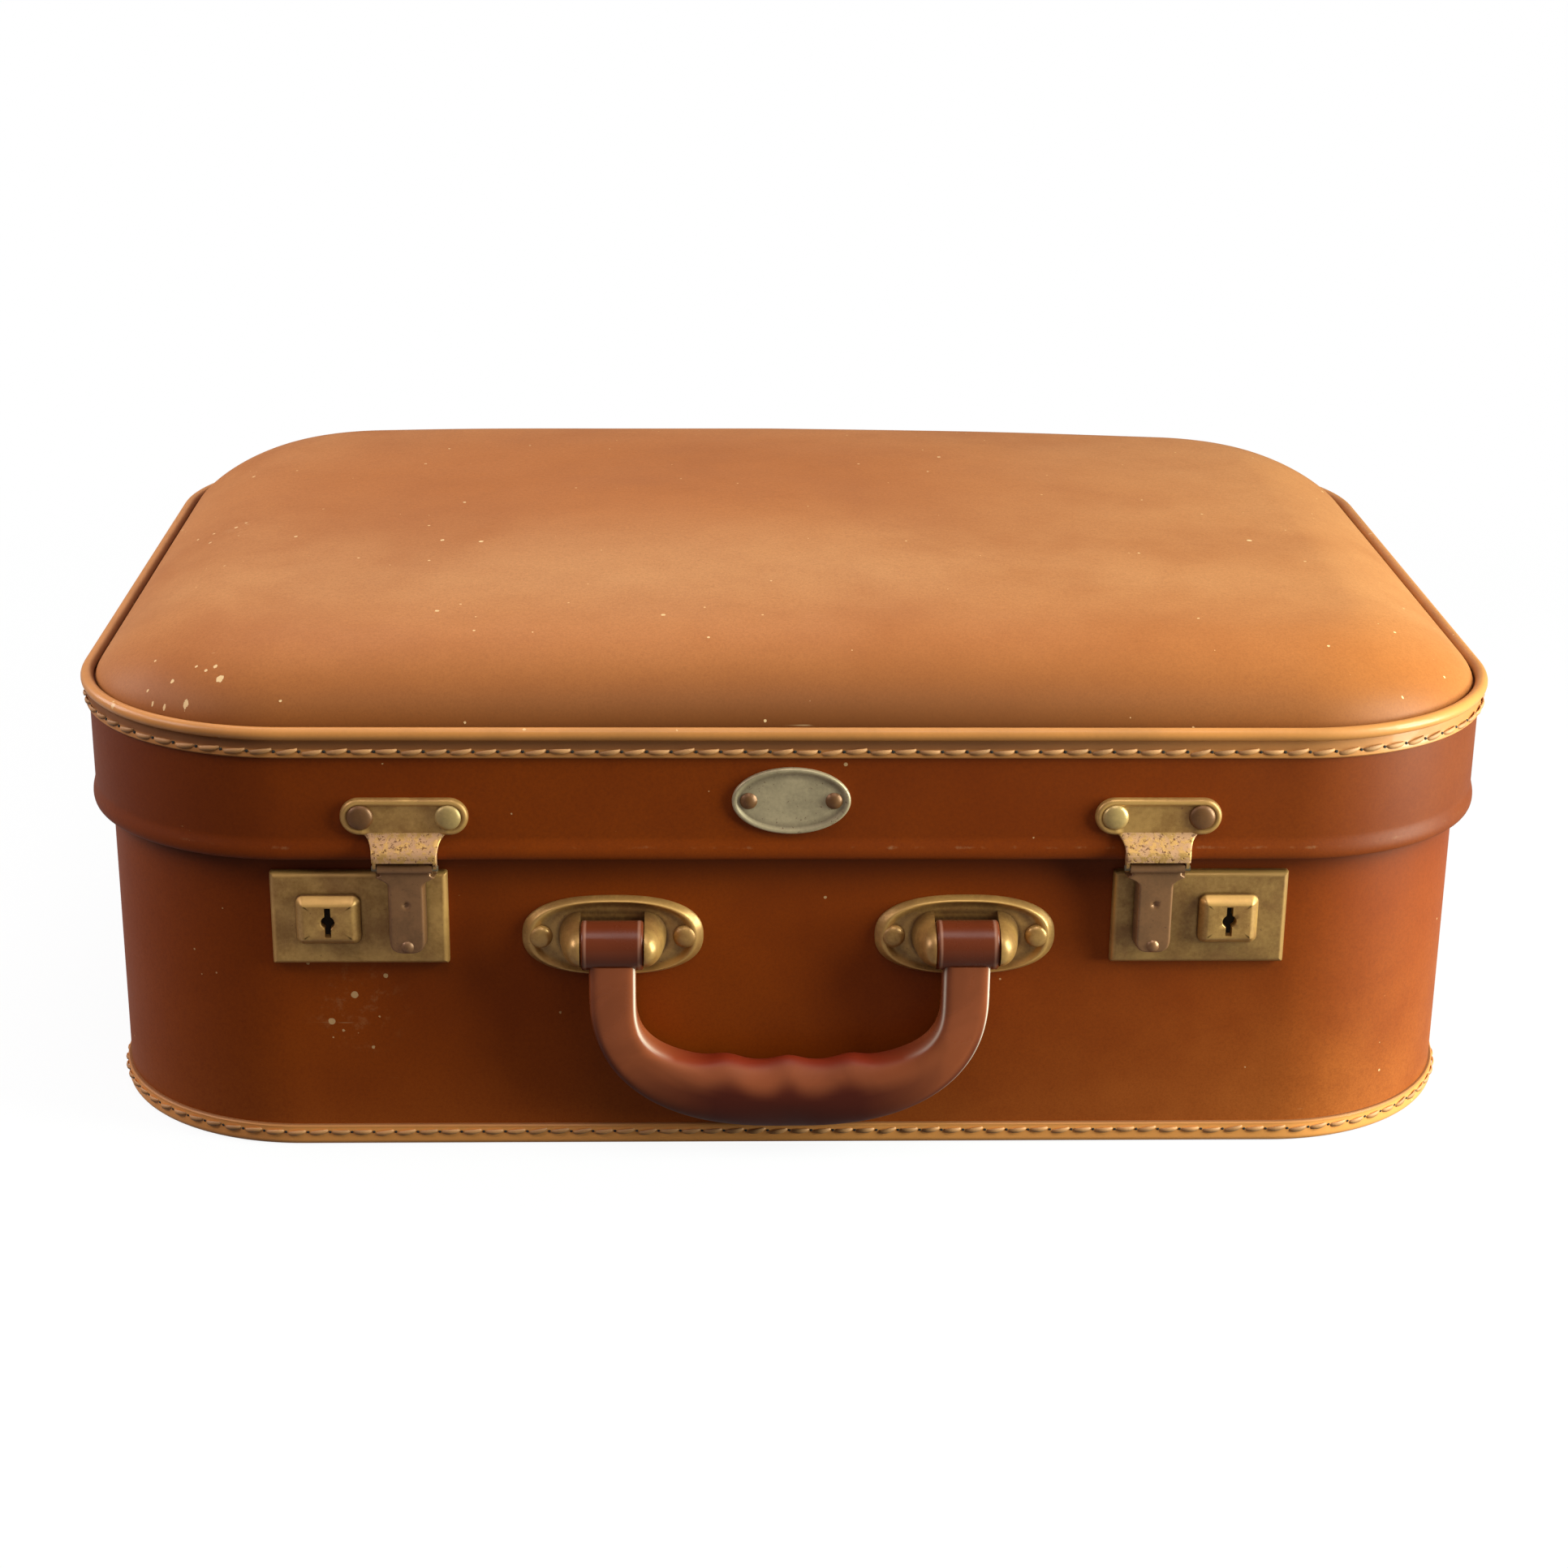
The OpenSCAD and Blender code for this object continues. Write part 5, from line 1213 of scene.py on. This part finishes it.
class SUITCASE_OT_locks(bpy.types.Operator):
    """Build the lock plates and their keyhole buttons"""
    bl_idname = "suitcase.locks"
    bl_label = "Locks"

    def execute(self, context):
        self.sizes = context.scene.suitcase_fittings
        for name, side in SIDES.items():
            self.plate(name, side)
            dress_node(f"{name}_slide_spring", drawn_steel())
            dress_node(f"{name}_lock_backplate", drawn_steel(), 0.2 * MM)
            self.button(name, side)
        return {"FINISHED"}

    def plate(self, name, side):
        """A shallow tray: its outline rises, slopes in over a rounded border to the flat face, and the
        face runs on to a round eye under the hasp."""
        lo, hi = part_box(f"{name}_lock_plate")
        eye_x = joint_point(f"{name}_hasp_swing").x
        eye_z = sum(corner.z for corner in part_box(f"{name}_hasp_stud")) / 2
        low, high = lo.z - 1.1 * MM, hi.z + 0.6 * MM
        inner, outer = sorted((lo.x, hi.x), key=abs)
        outer += side * 1.1 * MM
        mid = np.array([(inner + outer) / 2, (low + high) / 2])
        half = np.array([abs(outer - inner) / 2, (high - low) / 2])
        points, normals, _ = outline(half[0], half[1], 0.7 * MM, 240)
        face = -lo.y - HALF_D
        inset = np.array([0, 0, 0.12, 0.55, 1.1, 1.5, 1.75]) * MM
        rise = face * np.array([0, 0.42, 0.55, 0.76, 0.93, 0.99, 1.0])
        box = half - inset[:, None]
        rings = np.clip(points[None], -box[:, None], box[:, None]) + mid
        bearing = np.arctan2(rings[-1, :, 1] - eye_z, rings[-1, :, 0] - eye_x)
        eye = np.array([eye_x, eye_z]) + self.sizes.eye_r * np.stack([np.cos(bearing), np.sin(bearing)], -1)
        near = rings[-1] + (eye - rings[-1]) * np.array([0.5, 0.85])[:, None, None]
        flat = np.concatenate([rings, near, [eye, eye]])
        heights = np.concatenate([rise, np.full(3, face), [0]])
        tray = Piece(f"{name}_lock_plate_pressed")
        # Painted highlight: the sloping border is lighter, most along the top; painted shade darkens the
        # right plate all over
        slope = np.array([0, 0, 0.6, 1, 0.8, 0.3, 0, 0, 0, 0, 0])[:, None]
        wear = slope * (0.35 + 0.55 * np.clip(normals[:, 1], 0, 1))
        stain_and_shade = np.full(wear.shape, LOCK_SHADE[name])
        tray.grid(front(flat[..., 0], heights[:, None], flat[..., 1]), True, True, wear=wear, grime=stain_and_shade)
        tray.finish("base", [worn_brass()], f"{name}_lock_plate", "brassed_steel", 50)

    def button(self, name, side):
        """A block with a sloping border drawn in to a flat face, and a keyhole through it: the rings
        change from the rounded block to the keyhole, which is a disc with a slot across it."""
        lo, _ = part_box(f"{name}_lock_slide")
        plate_lo, plate_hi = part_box(f"{name}_lock_plate")
        f = self.sizes
        away, half_w = BUTTONS[name]
        mid_x = joint_point(f"{name}_hasp_swing").x + side * away
        mid_z = (plate_lo.z + plate_hi.z) / 2
        front_off = -lo.y - HALF_D
        back_off = -plate_lo.y - HALF_D + 0.3 * MM
        count = 160
        turn = full_turn(count)
        points, normals, _ = outline(half_w, f.button_half_h, f.button_r, 4000)
        bearing = np.arctan2(points[:, 1], points[:, 0])
        ring_of = lambda values: np.interp(turn, bearing, values, period=2 * np.pi)
        edge = np.stack([ring_of(points[:, 0]), ring_of(points[:, 1])], -1)
        inward = np.stack([ring_of(normals[:, 0]), ring_of(normals[:, 1])], -1)
        inset = np.array([0, 0, 0.3, 1.2, 2.1, 2.6, 2.9]) * MM
        rise = np.array([0, 0.22, 0.36, 0.68, 0.92, 0.985, 1.0])
        rings = edge[None] - inset[:, None, None] * inward[None]
        height = back_off + rise * (front_off - back_off)
        key_r = np.maximum(f.key_r, box_reach(turn, f.key_half_w, f.key_half_h))
        key = key_r[:, None] * np.stack([np.cos(turn), np.sin(turn)], -1)
        shares = np.array([0.35, 0.7, 0.96])[:, None, None]
        face = rings[-1] + (key - rings[-1]) * shares
        block = np.concatenate([rings, face, [key, key]])
        sunk = 0.2 * MM
        heights = np.concatenate([height, np.full(3, front_off), [front_off - sunk, back_off - sunk]])
        grid = front(mid_x + block[..., 0], heights[:, None], mid_z + block[..., 1])
        button = Piece(f"{name}_lock_button")
        # Painted shade darkens the button's foot; painted highlight lightens its sloping border where it
        # faces up
        foot, slope = np.zeros((2, len(heights), 1))
        foot[:2] = 0.85
        slope[2:6] = 0.7
        tones = {"grime": foot * np.ones(count), "wear": slope * np.clip(inward[:, 1], 0, 1)}
        button.grid(grid, False, True, front(mid_x, back_off, mid_z) + [0, 0.02 * MM, 0], None, **tones)
        # A dark disc behind the keyhole stands for the shade inside it
        deep = back_off + np.array([0.5, 0.6])[:, None] * MM
        button.closed(front(mid_x + key[:, 0], deep, mid_z + key[:, 1]), 1)
        button.finish(f"{name}_slide", [worn_brass(), dark_inside()], f"{name}_lock_slide",
                      "brassed_steel", 45)


class SUITCASE_OT_brackets(bpy.types.Operator):
    """Build the domed handle brackets"""
    bl_idname = "suitcase.brackets"
    bl_label = "Handle brackets"

    def execute(self, context):
        f = context.scene.suitcase_fittings
        for name in SIDES:
            self.bracket(name, f)
            dress_node(f"{name}_handle_pin", drawn_steel())
        boxes = [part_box(f"{name}_handle_bracket") for name in SIDES]
        spots = [((lo.x + hi.x) / 2 + end * f.bracket_rivet_x, (lo.z + hi.z) / 2)
                 for lo, hi in boxes for end in (-1, 1)]
        heads = Piece("handle_rivet_heads")
        rivet_heads(heads, spots, 1 * MM, f.bracket_rivet_r, f.bracket_rivet_h, [0, 0, 0, 0])
        heads.finish("base", [worn_brass()], "handle_rivets", "brassed_steel", 50)
        return {"FINISHED"}

    def bracket(self, name, f):
        """Rings run from the window out to the edge, a superellipse; the height is a sheet with a
        rolled rim. Each dome is a quarter of a superellipsoid that starts at the window."""
        lo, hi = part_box(f"{name}_handle_bracket")
        mid_x, mid_z = (lo.x + hi.x) / 2, (lo.z + hi.z) / 2
        half_w, half_h = (hi.x - lo.x) / 2, (hi.z - lo.z) / 2 + 1.1 * MM
        window_w, window_h = f.window_half_w, f.window_half_h
        corner = math.atan2(window_h, window_w)
        corners = [corner, np.pi - corner, np.pi + corner, 2 * np.pi - corner]
        turn = np.unique(np.concatenate([full_turn(180), corners]))
        cos, sin = np.cos(turn), np.sin(turn)
        window = box_reach(turn, window_w, window_h)[:, None] * np.stack([cos, sin], -1)
        power = 2.45
        oval_r = (np.abs(cos / half_w) ** power + np.abs(sin / half_h) ** power) ** (-1 / power)
        oval = oval_r[:, None] * np.stack([cos, sin], -1)
        t = np.concatenate([np.linspace(0, 0.7, 12), 0.7 + 0.3 * np.sin(np.linspace(0, np.pi / 2, 26))[1:]])
        at = window[None] * (1 - t[:, None, None]) + oval[None] * t[:, None, None]
        x, z = at[..., 0], at[..., 1]
        inside = (np.abs(x / half_w) ** power + np.abs(z / half_h) ** power) ** (1 / power)
        edge = (1 - inside) * half_h
        sheet = 1 * MM * round_edge(edge, 1.2 * MM) + 1.5 * MM * bell(edge - 1.3 * MM, 0.8 * MM)
        top = front(mid_x + x, sheet, mid_z + z)
        base = lambda ring: front(mid_x + ring[:, 0], 0, mid_z + ring[:, 1])[None]
        # Darker at the rim's inner foot and at the domes' feet; painted shadow darkens the plate just above
        # the window, where the barrel sits, and along the window's edge
        dome_foot = np.hypot(np.clip(np.abs(x) - window_w, 0, None) / (6.6 * MM), z / (7.7 * MM)) - 1
        grime = np.maximum(0.55 * bell(edge - 3.1 * MM, 0.8 * MM), 0.8 * bell(dome_foot, 0.13))
        gap = np.clip(1.6 - (z - window_h) / (1.6 * MM), 0, 1) * (np.abs(x) < window_w) * (z > 0)
        grime = np.maximum(grime, 0.95 * gap)
        grime = np.vstack([grime[:1], grime, 0 * grime[:1]])
        grime[:4] = 0.9
        bracket = Piece(f"{name}_handle_bracket_domed")
        # Painted highlight: the crest of the rim is lighter, most along the top
        crest = bell(edge - 1.3 * MM, 0.6 * MM) * (0.35 + 0.65 * ramp(z, half_h))
        wear = np.vstack([0 * crest[:1], crest, 0 * crest[:1]])
        bracket.grid(np.concatenate([base(window), top, base(oval)]), True, True, grime=grime, wear=wear)
        peak = -lo.y - HALF_D
        rise = np.linspace(0, np.pi / 2, 22)[:-1, None]
        swing = np.radians(np.linspace(-90, 90, 33))
        squarer = 2 / 2.4
        narrow = np.cos(rise) ** squarer * (1 + 0.12 * np.exp(-rise / 0.09))
        root = 0.6 * MM
        height = root + (peak - root) * np.sin(rise) ** squarer
        # Darker where each dome rises from the plate
        foot = np.clip(1 - rise / 0.35, 0, 1) * np.ones(len(swing))
        for end in (-1, 1):
            x = mid_x + end * (window_w + f.dome_w * narrow * np.cos(swing))
            z = mid_z + f.dome_half_h * narrow * np.sin(swing)
            dome = front(x, height, z)
            tip = front(mid_x + end * window_w, peak, mid_z)
            bracket.grid(dome, False, True, dome[0].mean(0), tip, grime=foot * 0.8)
        bracket.finish("base", [worn_brass()], f"{name}_handle_bracket", "brassed_steel", 55)


class SUITCASE_OT_handle(bpy.types.Operator):
    """Build the moulded handle with its barrels"""
    bl_idname = "suitcase.handle"
    bl_label = "Handle"

    def execute(self, context):
        self.sizes = context.scene.suitcase_handle
        pin = joint_point("handle_swing")
        rings, tones = self.bow(pin)
        handle = Piece("handle_moulded")
        handle.closed(rings, **tones)
        for end in (-1, 1):
            self.barrel(handle, pin, end)
        handle.finish("handle", [handle_plastic()], "handle", "handle_plastic", 60)
        return {"FINISHED"}

    def bow(self, pin):
        """Sections between an outer and an inner outline. Both are half superellipses hung from the arms;
        a section is a superellipse too, squarer on the arms and rounder on the grip."""
        h = self.sizes
        drop = pin.z - HANDLE_LO.z
        outer = np.array([(h.pitch + h.arm_w) / 2, drop - h.arm_l])
        inner = np.array([(h.pitch - h.arm_w) / 2, drop - h.arm_l - h.grip_h])
        u = np.linspace(0, np.pi, 121)
        share_x = np.cos(u)
        power_out, power_in = 2.3, 3.4
        a = np.arccos(np.sign(share_x) * np.abs(share_x) ** (power_in / 2))
        out_x = -outer[0] * np.sign(np.cos(a)) * np.abs(np.cos(a)) ** (2 / power_out)
        out_z = -outer[1] * np.sin(a) ** (2 / power_out)
        in_x = -inner[0] * share_x
        in_z = -inner[1] * np.sin(a) ** (2 / power_in)
        ridge = h.ridge_h * sum(bell(in_x - k * h.ridge_gap, h.ridge_w) for k in (-1, 0, 1))
        arm = np.linspace(h.arm_l - 5.0 * MM, 0, 9)[:-1]
        joined = lambda left, bow, right: np.concatenate([0 * arm + left, bow, 0 * arm + right])
        z_arm = lambda bow: np.concatenate([arm, bow, arm[::-1]])
        out = np.stack([joined(-outer[0], out_x, outer[0]), z_arm(out_z)], -1)
        inn = np.stack([joined(-inner[0], in_x, inner[0]), z_arm(in_z)], -1)
        swell = joined(0, np.sin(u), 0)
        ridge = joined(0, ridge, 0)
        depth = h.arm_depth + (h.grip_depth - h.arm_depth) * swell
        power = 6.0 - 4.2 * swell ** 1.6
        turn = full_turn(48)
        c, s = np.cos(turn), np.sin(turn)
        across = np.sign(c) * np.abs(c) ** (2 / power[:, None])
        side = np.sign(s) * np.abs(s) ** (2 / power[:, None])
        upper = np.clip(-across, 0, 1) ** 1.3
        mid, half = (out + inn) / 2, (out - inn) / 2
        flat = mid[:, None, :] + half[:, None, :] * across[..., None]
        flat[..., 1] += ridge[:, None] * upper
        tones = self.tones(across, side, swell[:, None], ridge[:, None] / h.ridge_h, mid[:, :1])
        z0 = pin.z - h.arm_l
        lean = ramp(across + 0.3, 1.3) ** 1.4 * swell[:, None] ** 2
        y = pin.y + depth[:, None] / 2 * side * (1 - 0.22 * lean)
        return np.stack([pin.x + flat[..., 0], y, z0 + flat[..., 1]], -1), tones

    def tones(self, across, side, swell, ridge, x):
        """Painted light and shade on the plastic. The grip gets painted shade, lighter over its upper band
        and dark below a line that climbs at each finger ridge and along the bow's outer edge, and a painted
        deep red for the shade and glow along its top; the arms get painted highlights, pale lines along
        their front edges."""
        grip = np.clip(swell * 2.2 - 0.9, 0, 1)
        below = ramp(across + 0.5 + 0.25 * ridge, 0.55)
        outside = ramp(across - 0.62, 0.2) * np.clip(swell * 4, 0, 1)
        shade = np.maximum(grip * (0.3 + 0.66 * below * below * (3 - 2 * below)), 0.8 * outside)
        red = grip * ramp(-0.82 - across + 0.4 * np.clip(side, 0, 1), 0.12)
        # The pale lines are a painted highlight, left off the left arm's outer edge
        rub_and_highlight = np.where((x < 0) & (across > 0), 0, 1) * np.clip(1 - swell * 1.5, 0, 1) * (side < -0.3)
        corner = bell(np.abs(across) - 0.94, 0.04) * rub_and_highlight
        return {"shade": shade, "red": red, "corner": corner}

    def barrel(self, handle, pin, end):
        """A turned sleeve around the pin with eased edges, darkened by painted shade between its worn ends.
        """
        h = self.sizes
        ease = 0.5 * MM
        half = h.barrel_w / 2
        x = np.array([0, ease, 1.3 * MM, 1.9 * MM])
        x = np.concatenate([x - half, half - x[::-1]])
        r = np.full(8, h.barrel_r)
        r[[0, -1]] -= ease
        count = 64
        shade = np.array([0.6, 0.6, 0.2, 0.7, 0.7, 0.2, 0.6, 0.6])[:, None] * np.ones(count)
        pale = np.array([0, 0, 0.12, 0, 0, 0.12, 0, 0])[:, None] * np.ones(count)
        mid = pin.x + end * h.pitch / 2
        handle.closed(turned(pin, mid + x, r, count), shade=shade, corner=pale)


class SUITCASE_OT_badge(bpy.types.Operator):
    """Build the bare oval badge"""
    bl_idname = "suitcase.badge"
    bl_label = "Badge"

    def execute(self, context):
        lo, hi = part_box("badge")
        seat = -hi.y - HALF_D
        top = -lo.y - HALF_D - seat
        insets = np.array([0, 0, 0.25, 0.8, 1.3, 1.9, 2.3, 4, 7, 10]) * MM
        heights = seat + top * np.array([0, 0.55, 0.9, 1, 0.85, 0.5, 0.42, 0.44, 0.47, 0.48])
        x, off, z = oval_rings((hi.x - lo.x) / 2, (hi.z - lo.z) / 2, insets, heights)
        rings = front((lo.x + hi.x) / 2 + x, off, (lo.z + hi.z) / 2 + z)
        badge = Piece("badge_oval")
        groove = 0.5 * bell(insets - 2.3 * MM, 0.8 * MM)[:, None] * np.ones(x.shape[1])
        badge.closed(rings, grime=groove)
        badge.finish("lid", [badge_metal()], "badge", "badge_metal", 60)
        dress_node("badge_rivets", brown_rivet())
        return {"FINISHED"}


class SUITCASE_OT_hinges(bpy.types.Operator):
    """Build the hinges behind the case"""
    bl_idname = "suitcase.hinges"
    bl_label = "Hinges"

    def execute(self, context):
        for name in SIDES:
            self.lid_leaf(name)
            self.base_leaf(name)
            dress_node(f"{name}_hinge_pin", drawn_steel())
        dress_node("hinge_lid_rivets", worn_brass())
        dress_node("hinge_base_rivets", worn_brass())
        return {"FINISHED"}

    def sizes(self, name):
        """The boxes of the two leaves, the pin's distance and height, and the knuckle's radius."""
        pin = joint_point("lid_hinge")
        lid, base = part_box(f"{name}_hinge_lid_leaf"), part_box(f"{name}_hinge_base_leaf")
        return lid, base, np.array([pin.y - HALF_D, pin.z]), lid[1].y - pin.y

    def strip(self, piece, mid_x, path, half):
        """A strip of the leaf's sheet on the back wall."""
        across, section = sheet_strip(path, half, bpy.context.scene.suitcase_fittings.hinge_t)
        piece.bar(front(mid_x + across, section[..., 0], section[..., 1]) * [1, -1, 1])

    def rounded(self, away, half):
        """Half width of a plate with round corners, from the distance to its end."""
        radius = 3 * MM
        inside = np.clip(radius - away, 0, radius)
        return half - radius + np.sqrt(radius ** 2 - inside ** 2)

    def lid_leaf(self, name):
        """A plate down the lid's wall that steps out over the hem, and a tongue that curls around
        the pin by three quarters of a turn."""
        lid, _, pin, knuckle = self.sizes(name)
        wall, top = lid[0].y - HALF_D, lid[1].z
        step = pin[0] - knuckle
        half, mid_x = (lid[1].x - lid[0].x) / 2, (lid[0].x + lid[1].x) / 2
        low = LID_LO.z
        plate = dense([[wall, top], [wall, top - 3 * MM], [wall, low + 7 * MM], [step, low + 5 * MM],
                       [step, low]], 0.4 * MM)
        leaf = Piece(f"{name}_hinge_lid_plate")
        self.strip(leaf, mid_x, plate, self.rounded(top - plate[:, 1], half))
        tongue = np.vstack([[[step, low + 2 * MM]], arc(pin, knuckle, 180, 450, 34)])
        self.strip(leaf, mid_x, tongue, half / 3 - 0.3 * MM)
        leaf.finish("lid", [worn_brass()], f"{name}_hinge_lid_leaf", "brassed_steel", 50)

    def base_leaf(self, name):
        """A plate on the base's wall, and two outer tongues that lean out and curl around the pin."""
        _, base, pin, knuckle = self.sizes(name)
        low = base[0].z
        top = pin[1] - knuckle - 4 * MM
        face = bpy.context.scene.suitcase_fittings.hinge_t
        half, mid_x = (base[1].x - base[0].x) / 2, (base[0].x + base[1].x) / 2
        plate = dense([[face, low], [face, low + 3 * MM], [face, top]], 0.4 * MM)
        leaf = Piece(f"{name}_hinge_base_plate")
        self.strip(leaf, mid_x, plate, self.rounded(plate[:, 1] - low, half))
        neck = dense([[face, top - 1 * MM], [face, top + 0.4 * MM],
                      [pin[0] - 1 * MM, pin[1] - knuckle]], 0.5 * MM)
        tongue = np.vstack([neck, arc(pin, knuckle, 276, 540, 34)])
        for end in (-1, 1):
            self.strip(leaf, mid_x + end * half * 2 / 3, tongue, half / 3)
        leaf.finish("base", [worn_brass()], f"{name}_hinge_base_leaf", "brassed_steel", 50)


class SUITCASE_OT_stage(bpy.types.Operator):
    """Build the pale floor, the soft lamps and the camera"""
    bl_idname = "suitcase.stage"
    bl_label = "Stage"

    def execute(self, context):
        self.floor(context.scene.suitcase_colours.floor)
        self.world(context.scene)
        for lamp in LAMPS:
            self.lamp(*lamp)
        self.camera(context.scene, context.scene.suitcase_stage)
        context.scene.view_settings.view_transform = "Standard"
        return {"FINISHED"}

    def floor(self, tint):
        """A square that glows white where it is seen and keeps a soft shadow, and throws little light
        back on the case."""
        mesh = bpy.data.meshes.new("floor")
        reach = 6.0
        corners = [(-reach, -reach, 0), (reach, -reach, 0), (reach, reach, 0), (-reach, reach, 0)]
        mesh.from_pydata(corners, [], [(0, 1, 2, 3)])
        s = Shader(bpy.data.materials.new("pale_floor"))
        seen = s.background()
        matte = s.node("BsdfDiffuse", {}, {"Color": s.mix(seen, FLOOR_LIGHT, tint)})
        glow = s.node("Emission", {}, {"Color": (*WHITE, 1), "Strength": 1.0})
        far = s.node("VectorMath", {"operation": "LENGTH"}, {0: s.place}, "Value")
        glowing = seen * (0.92 + 0.08 * s.step(far, 0.3, 0.8))
        mixed = s.node("MixShader", {}, {0: glowing, 1: matte, 2: glow})
        s.node("OutputMaterial", {}, {"Surface": mixed})
        mesh.materials.append(s.owner)
        floor = bpy.data.objects.new("floor", mesh)
        bpy.context.scene.collection.objects.link(floor)

    def world(self, scene):
        """White where it is seen, and a dim grey light from all around."""
        s = Shader(bpy.data.worlds.new("studio"))
        tint = s.mix(s.background(), SKY_LIGHT, WHITE)
        sky = s.node("Background", {}, {"Color": tint})
        s.node("OutputWorld", {}, {"Surface": sky})
        scene.world = s.owner

    def lamp(self, name, place, aim, size, power, tint):
        """A soft rectangular lamp that faces a point."""
        light = bpy.data.lights.new(name, "AREA")
        light.shape = "RECTANGLE"
        light.size, light.size_y = size
        light.energy = power
        light.color = tint
        lamp = bpy.data.objects.new(name, light)
        lamp.visible_camera = False
        lamp.location = place
        lamp.rotation_euler = (Vector(aim) - Vector(place)).to_track_quat("-Z", "Y").to_euler()
        bpy.context.scene.collection.objects.link(lamp)

    def camera(self, scene, settings):
        """Looks along a direction given by yaw and pitch, then rolls about it."""
        pitch, yaw, roll = settings.pitch, settings.yaw, settings.roll
        ahead = Vector((math.sin(yaw) * math.cos(pitch), math.cos(yaw) * math.cos(pitch), -math.sin(pitch)))
        right = Vector((math.cos(yaw), -math.sin(yaw), 0))
        up = right.cross(ahead)
        turned = math.cos(roll) * right + math.sin(roll) * up
        raised = math.cos(roll) * up - math.sin(roll) * right
        data = bpy.data.cameras.new("camera")
        data.lens = settings.focal
        data.sensor_width = 36
        data.sensor_fit = "HORIZONTAL"
        camera = bpy.data.objects.new("camera", data)
        axes = Matrix((turned, raised, -ahead)).transposed().to_4x4()
        camera.matrix_world = Matrix.Translation(settings.eye) @ axes
        scene.collection.objects.link(camera)
        scene.camera = camera


class SUITCASE_PT_panel(bpy.types.Panel):
    """Lists the steps that build the suitcase"""
    bl_label = "Suitcase"
    bl_idname = "SUITCASE_PT_panel"
    bl_space_type = "VIEW_3D"
    bl_region_type = "UI"
    bl_category = "Suitcase"

    def draw(self, context):
        for step in STEPS:
            self.layout.operator(step.bl_idname)


STEPS = (SUITCASE_OT_stage, SUITCASE_OT_walls, SUITCASE_OT_panel, SUITCASE_OT_welts, SUITCASE_OT_hasps,
         SUITCASE_OT_locks, SUITCASE_OT_brackets, SUITCASE_OT_handle, SUITCASE_OT_badge, SUITCASE_OT_hinges)
GROUPS = {"suitcase_case": CaseSizes, "suitcase_stitches": StitchSizes, "suitcase_handle": HandleSizes,
          "suitcase_fittings": FittingSizes, "suitcase_colours": FinishColours,
          "suitcase_stage": StageSettings}
CLASSES = (*GROUPS.values(), *STEPS, SUITCASE_PT_panel)


def register():
    for cls in CLASSES:
        bpy.utils.register_class(cls)
    for name, group in GROUPS.items():
        setattr(bpy.types.Scene, name, bpy.props.PointerProperty(type=group))


def unregister():
    for name in GROUPS:
        delattr(bpy.types.Scene, name)
    for cls in reversed(CLASSES):
        bpy.utils.unregister_class(cls)


def main():
    register()
    bpy.ops.suitcase.stage()
    bpy.ops.suitcase.walls()
    bpy.ops.suitcase.panel()
    bpy.ops.suitcase.welts()
    bpy.ops.suitcase.hasps()
    bpy.ops.suitcase.locks()
    bpy.ops.suitcase.brackets()
    bpy.ops.suitcase.handle()
    bpy.ops.suitcase.badge()
    bpy.ops.suitcase.hinges()


if __name__ == "__main__":
    main()
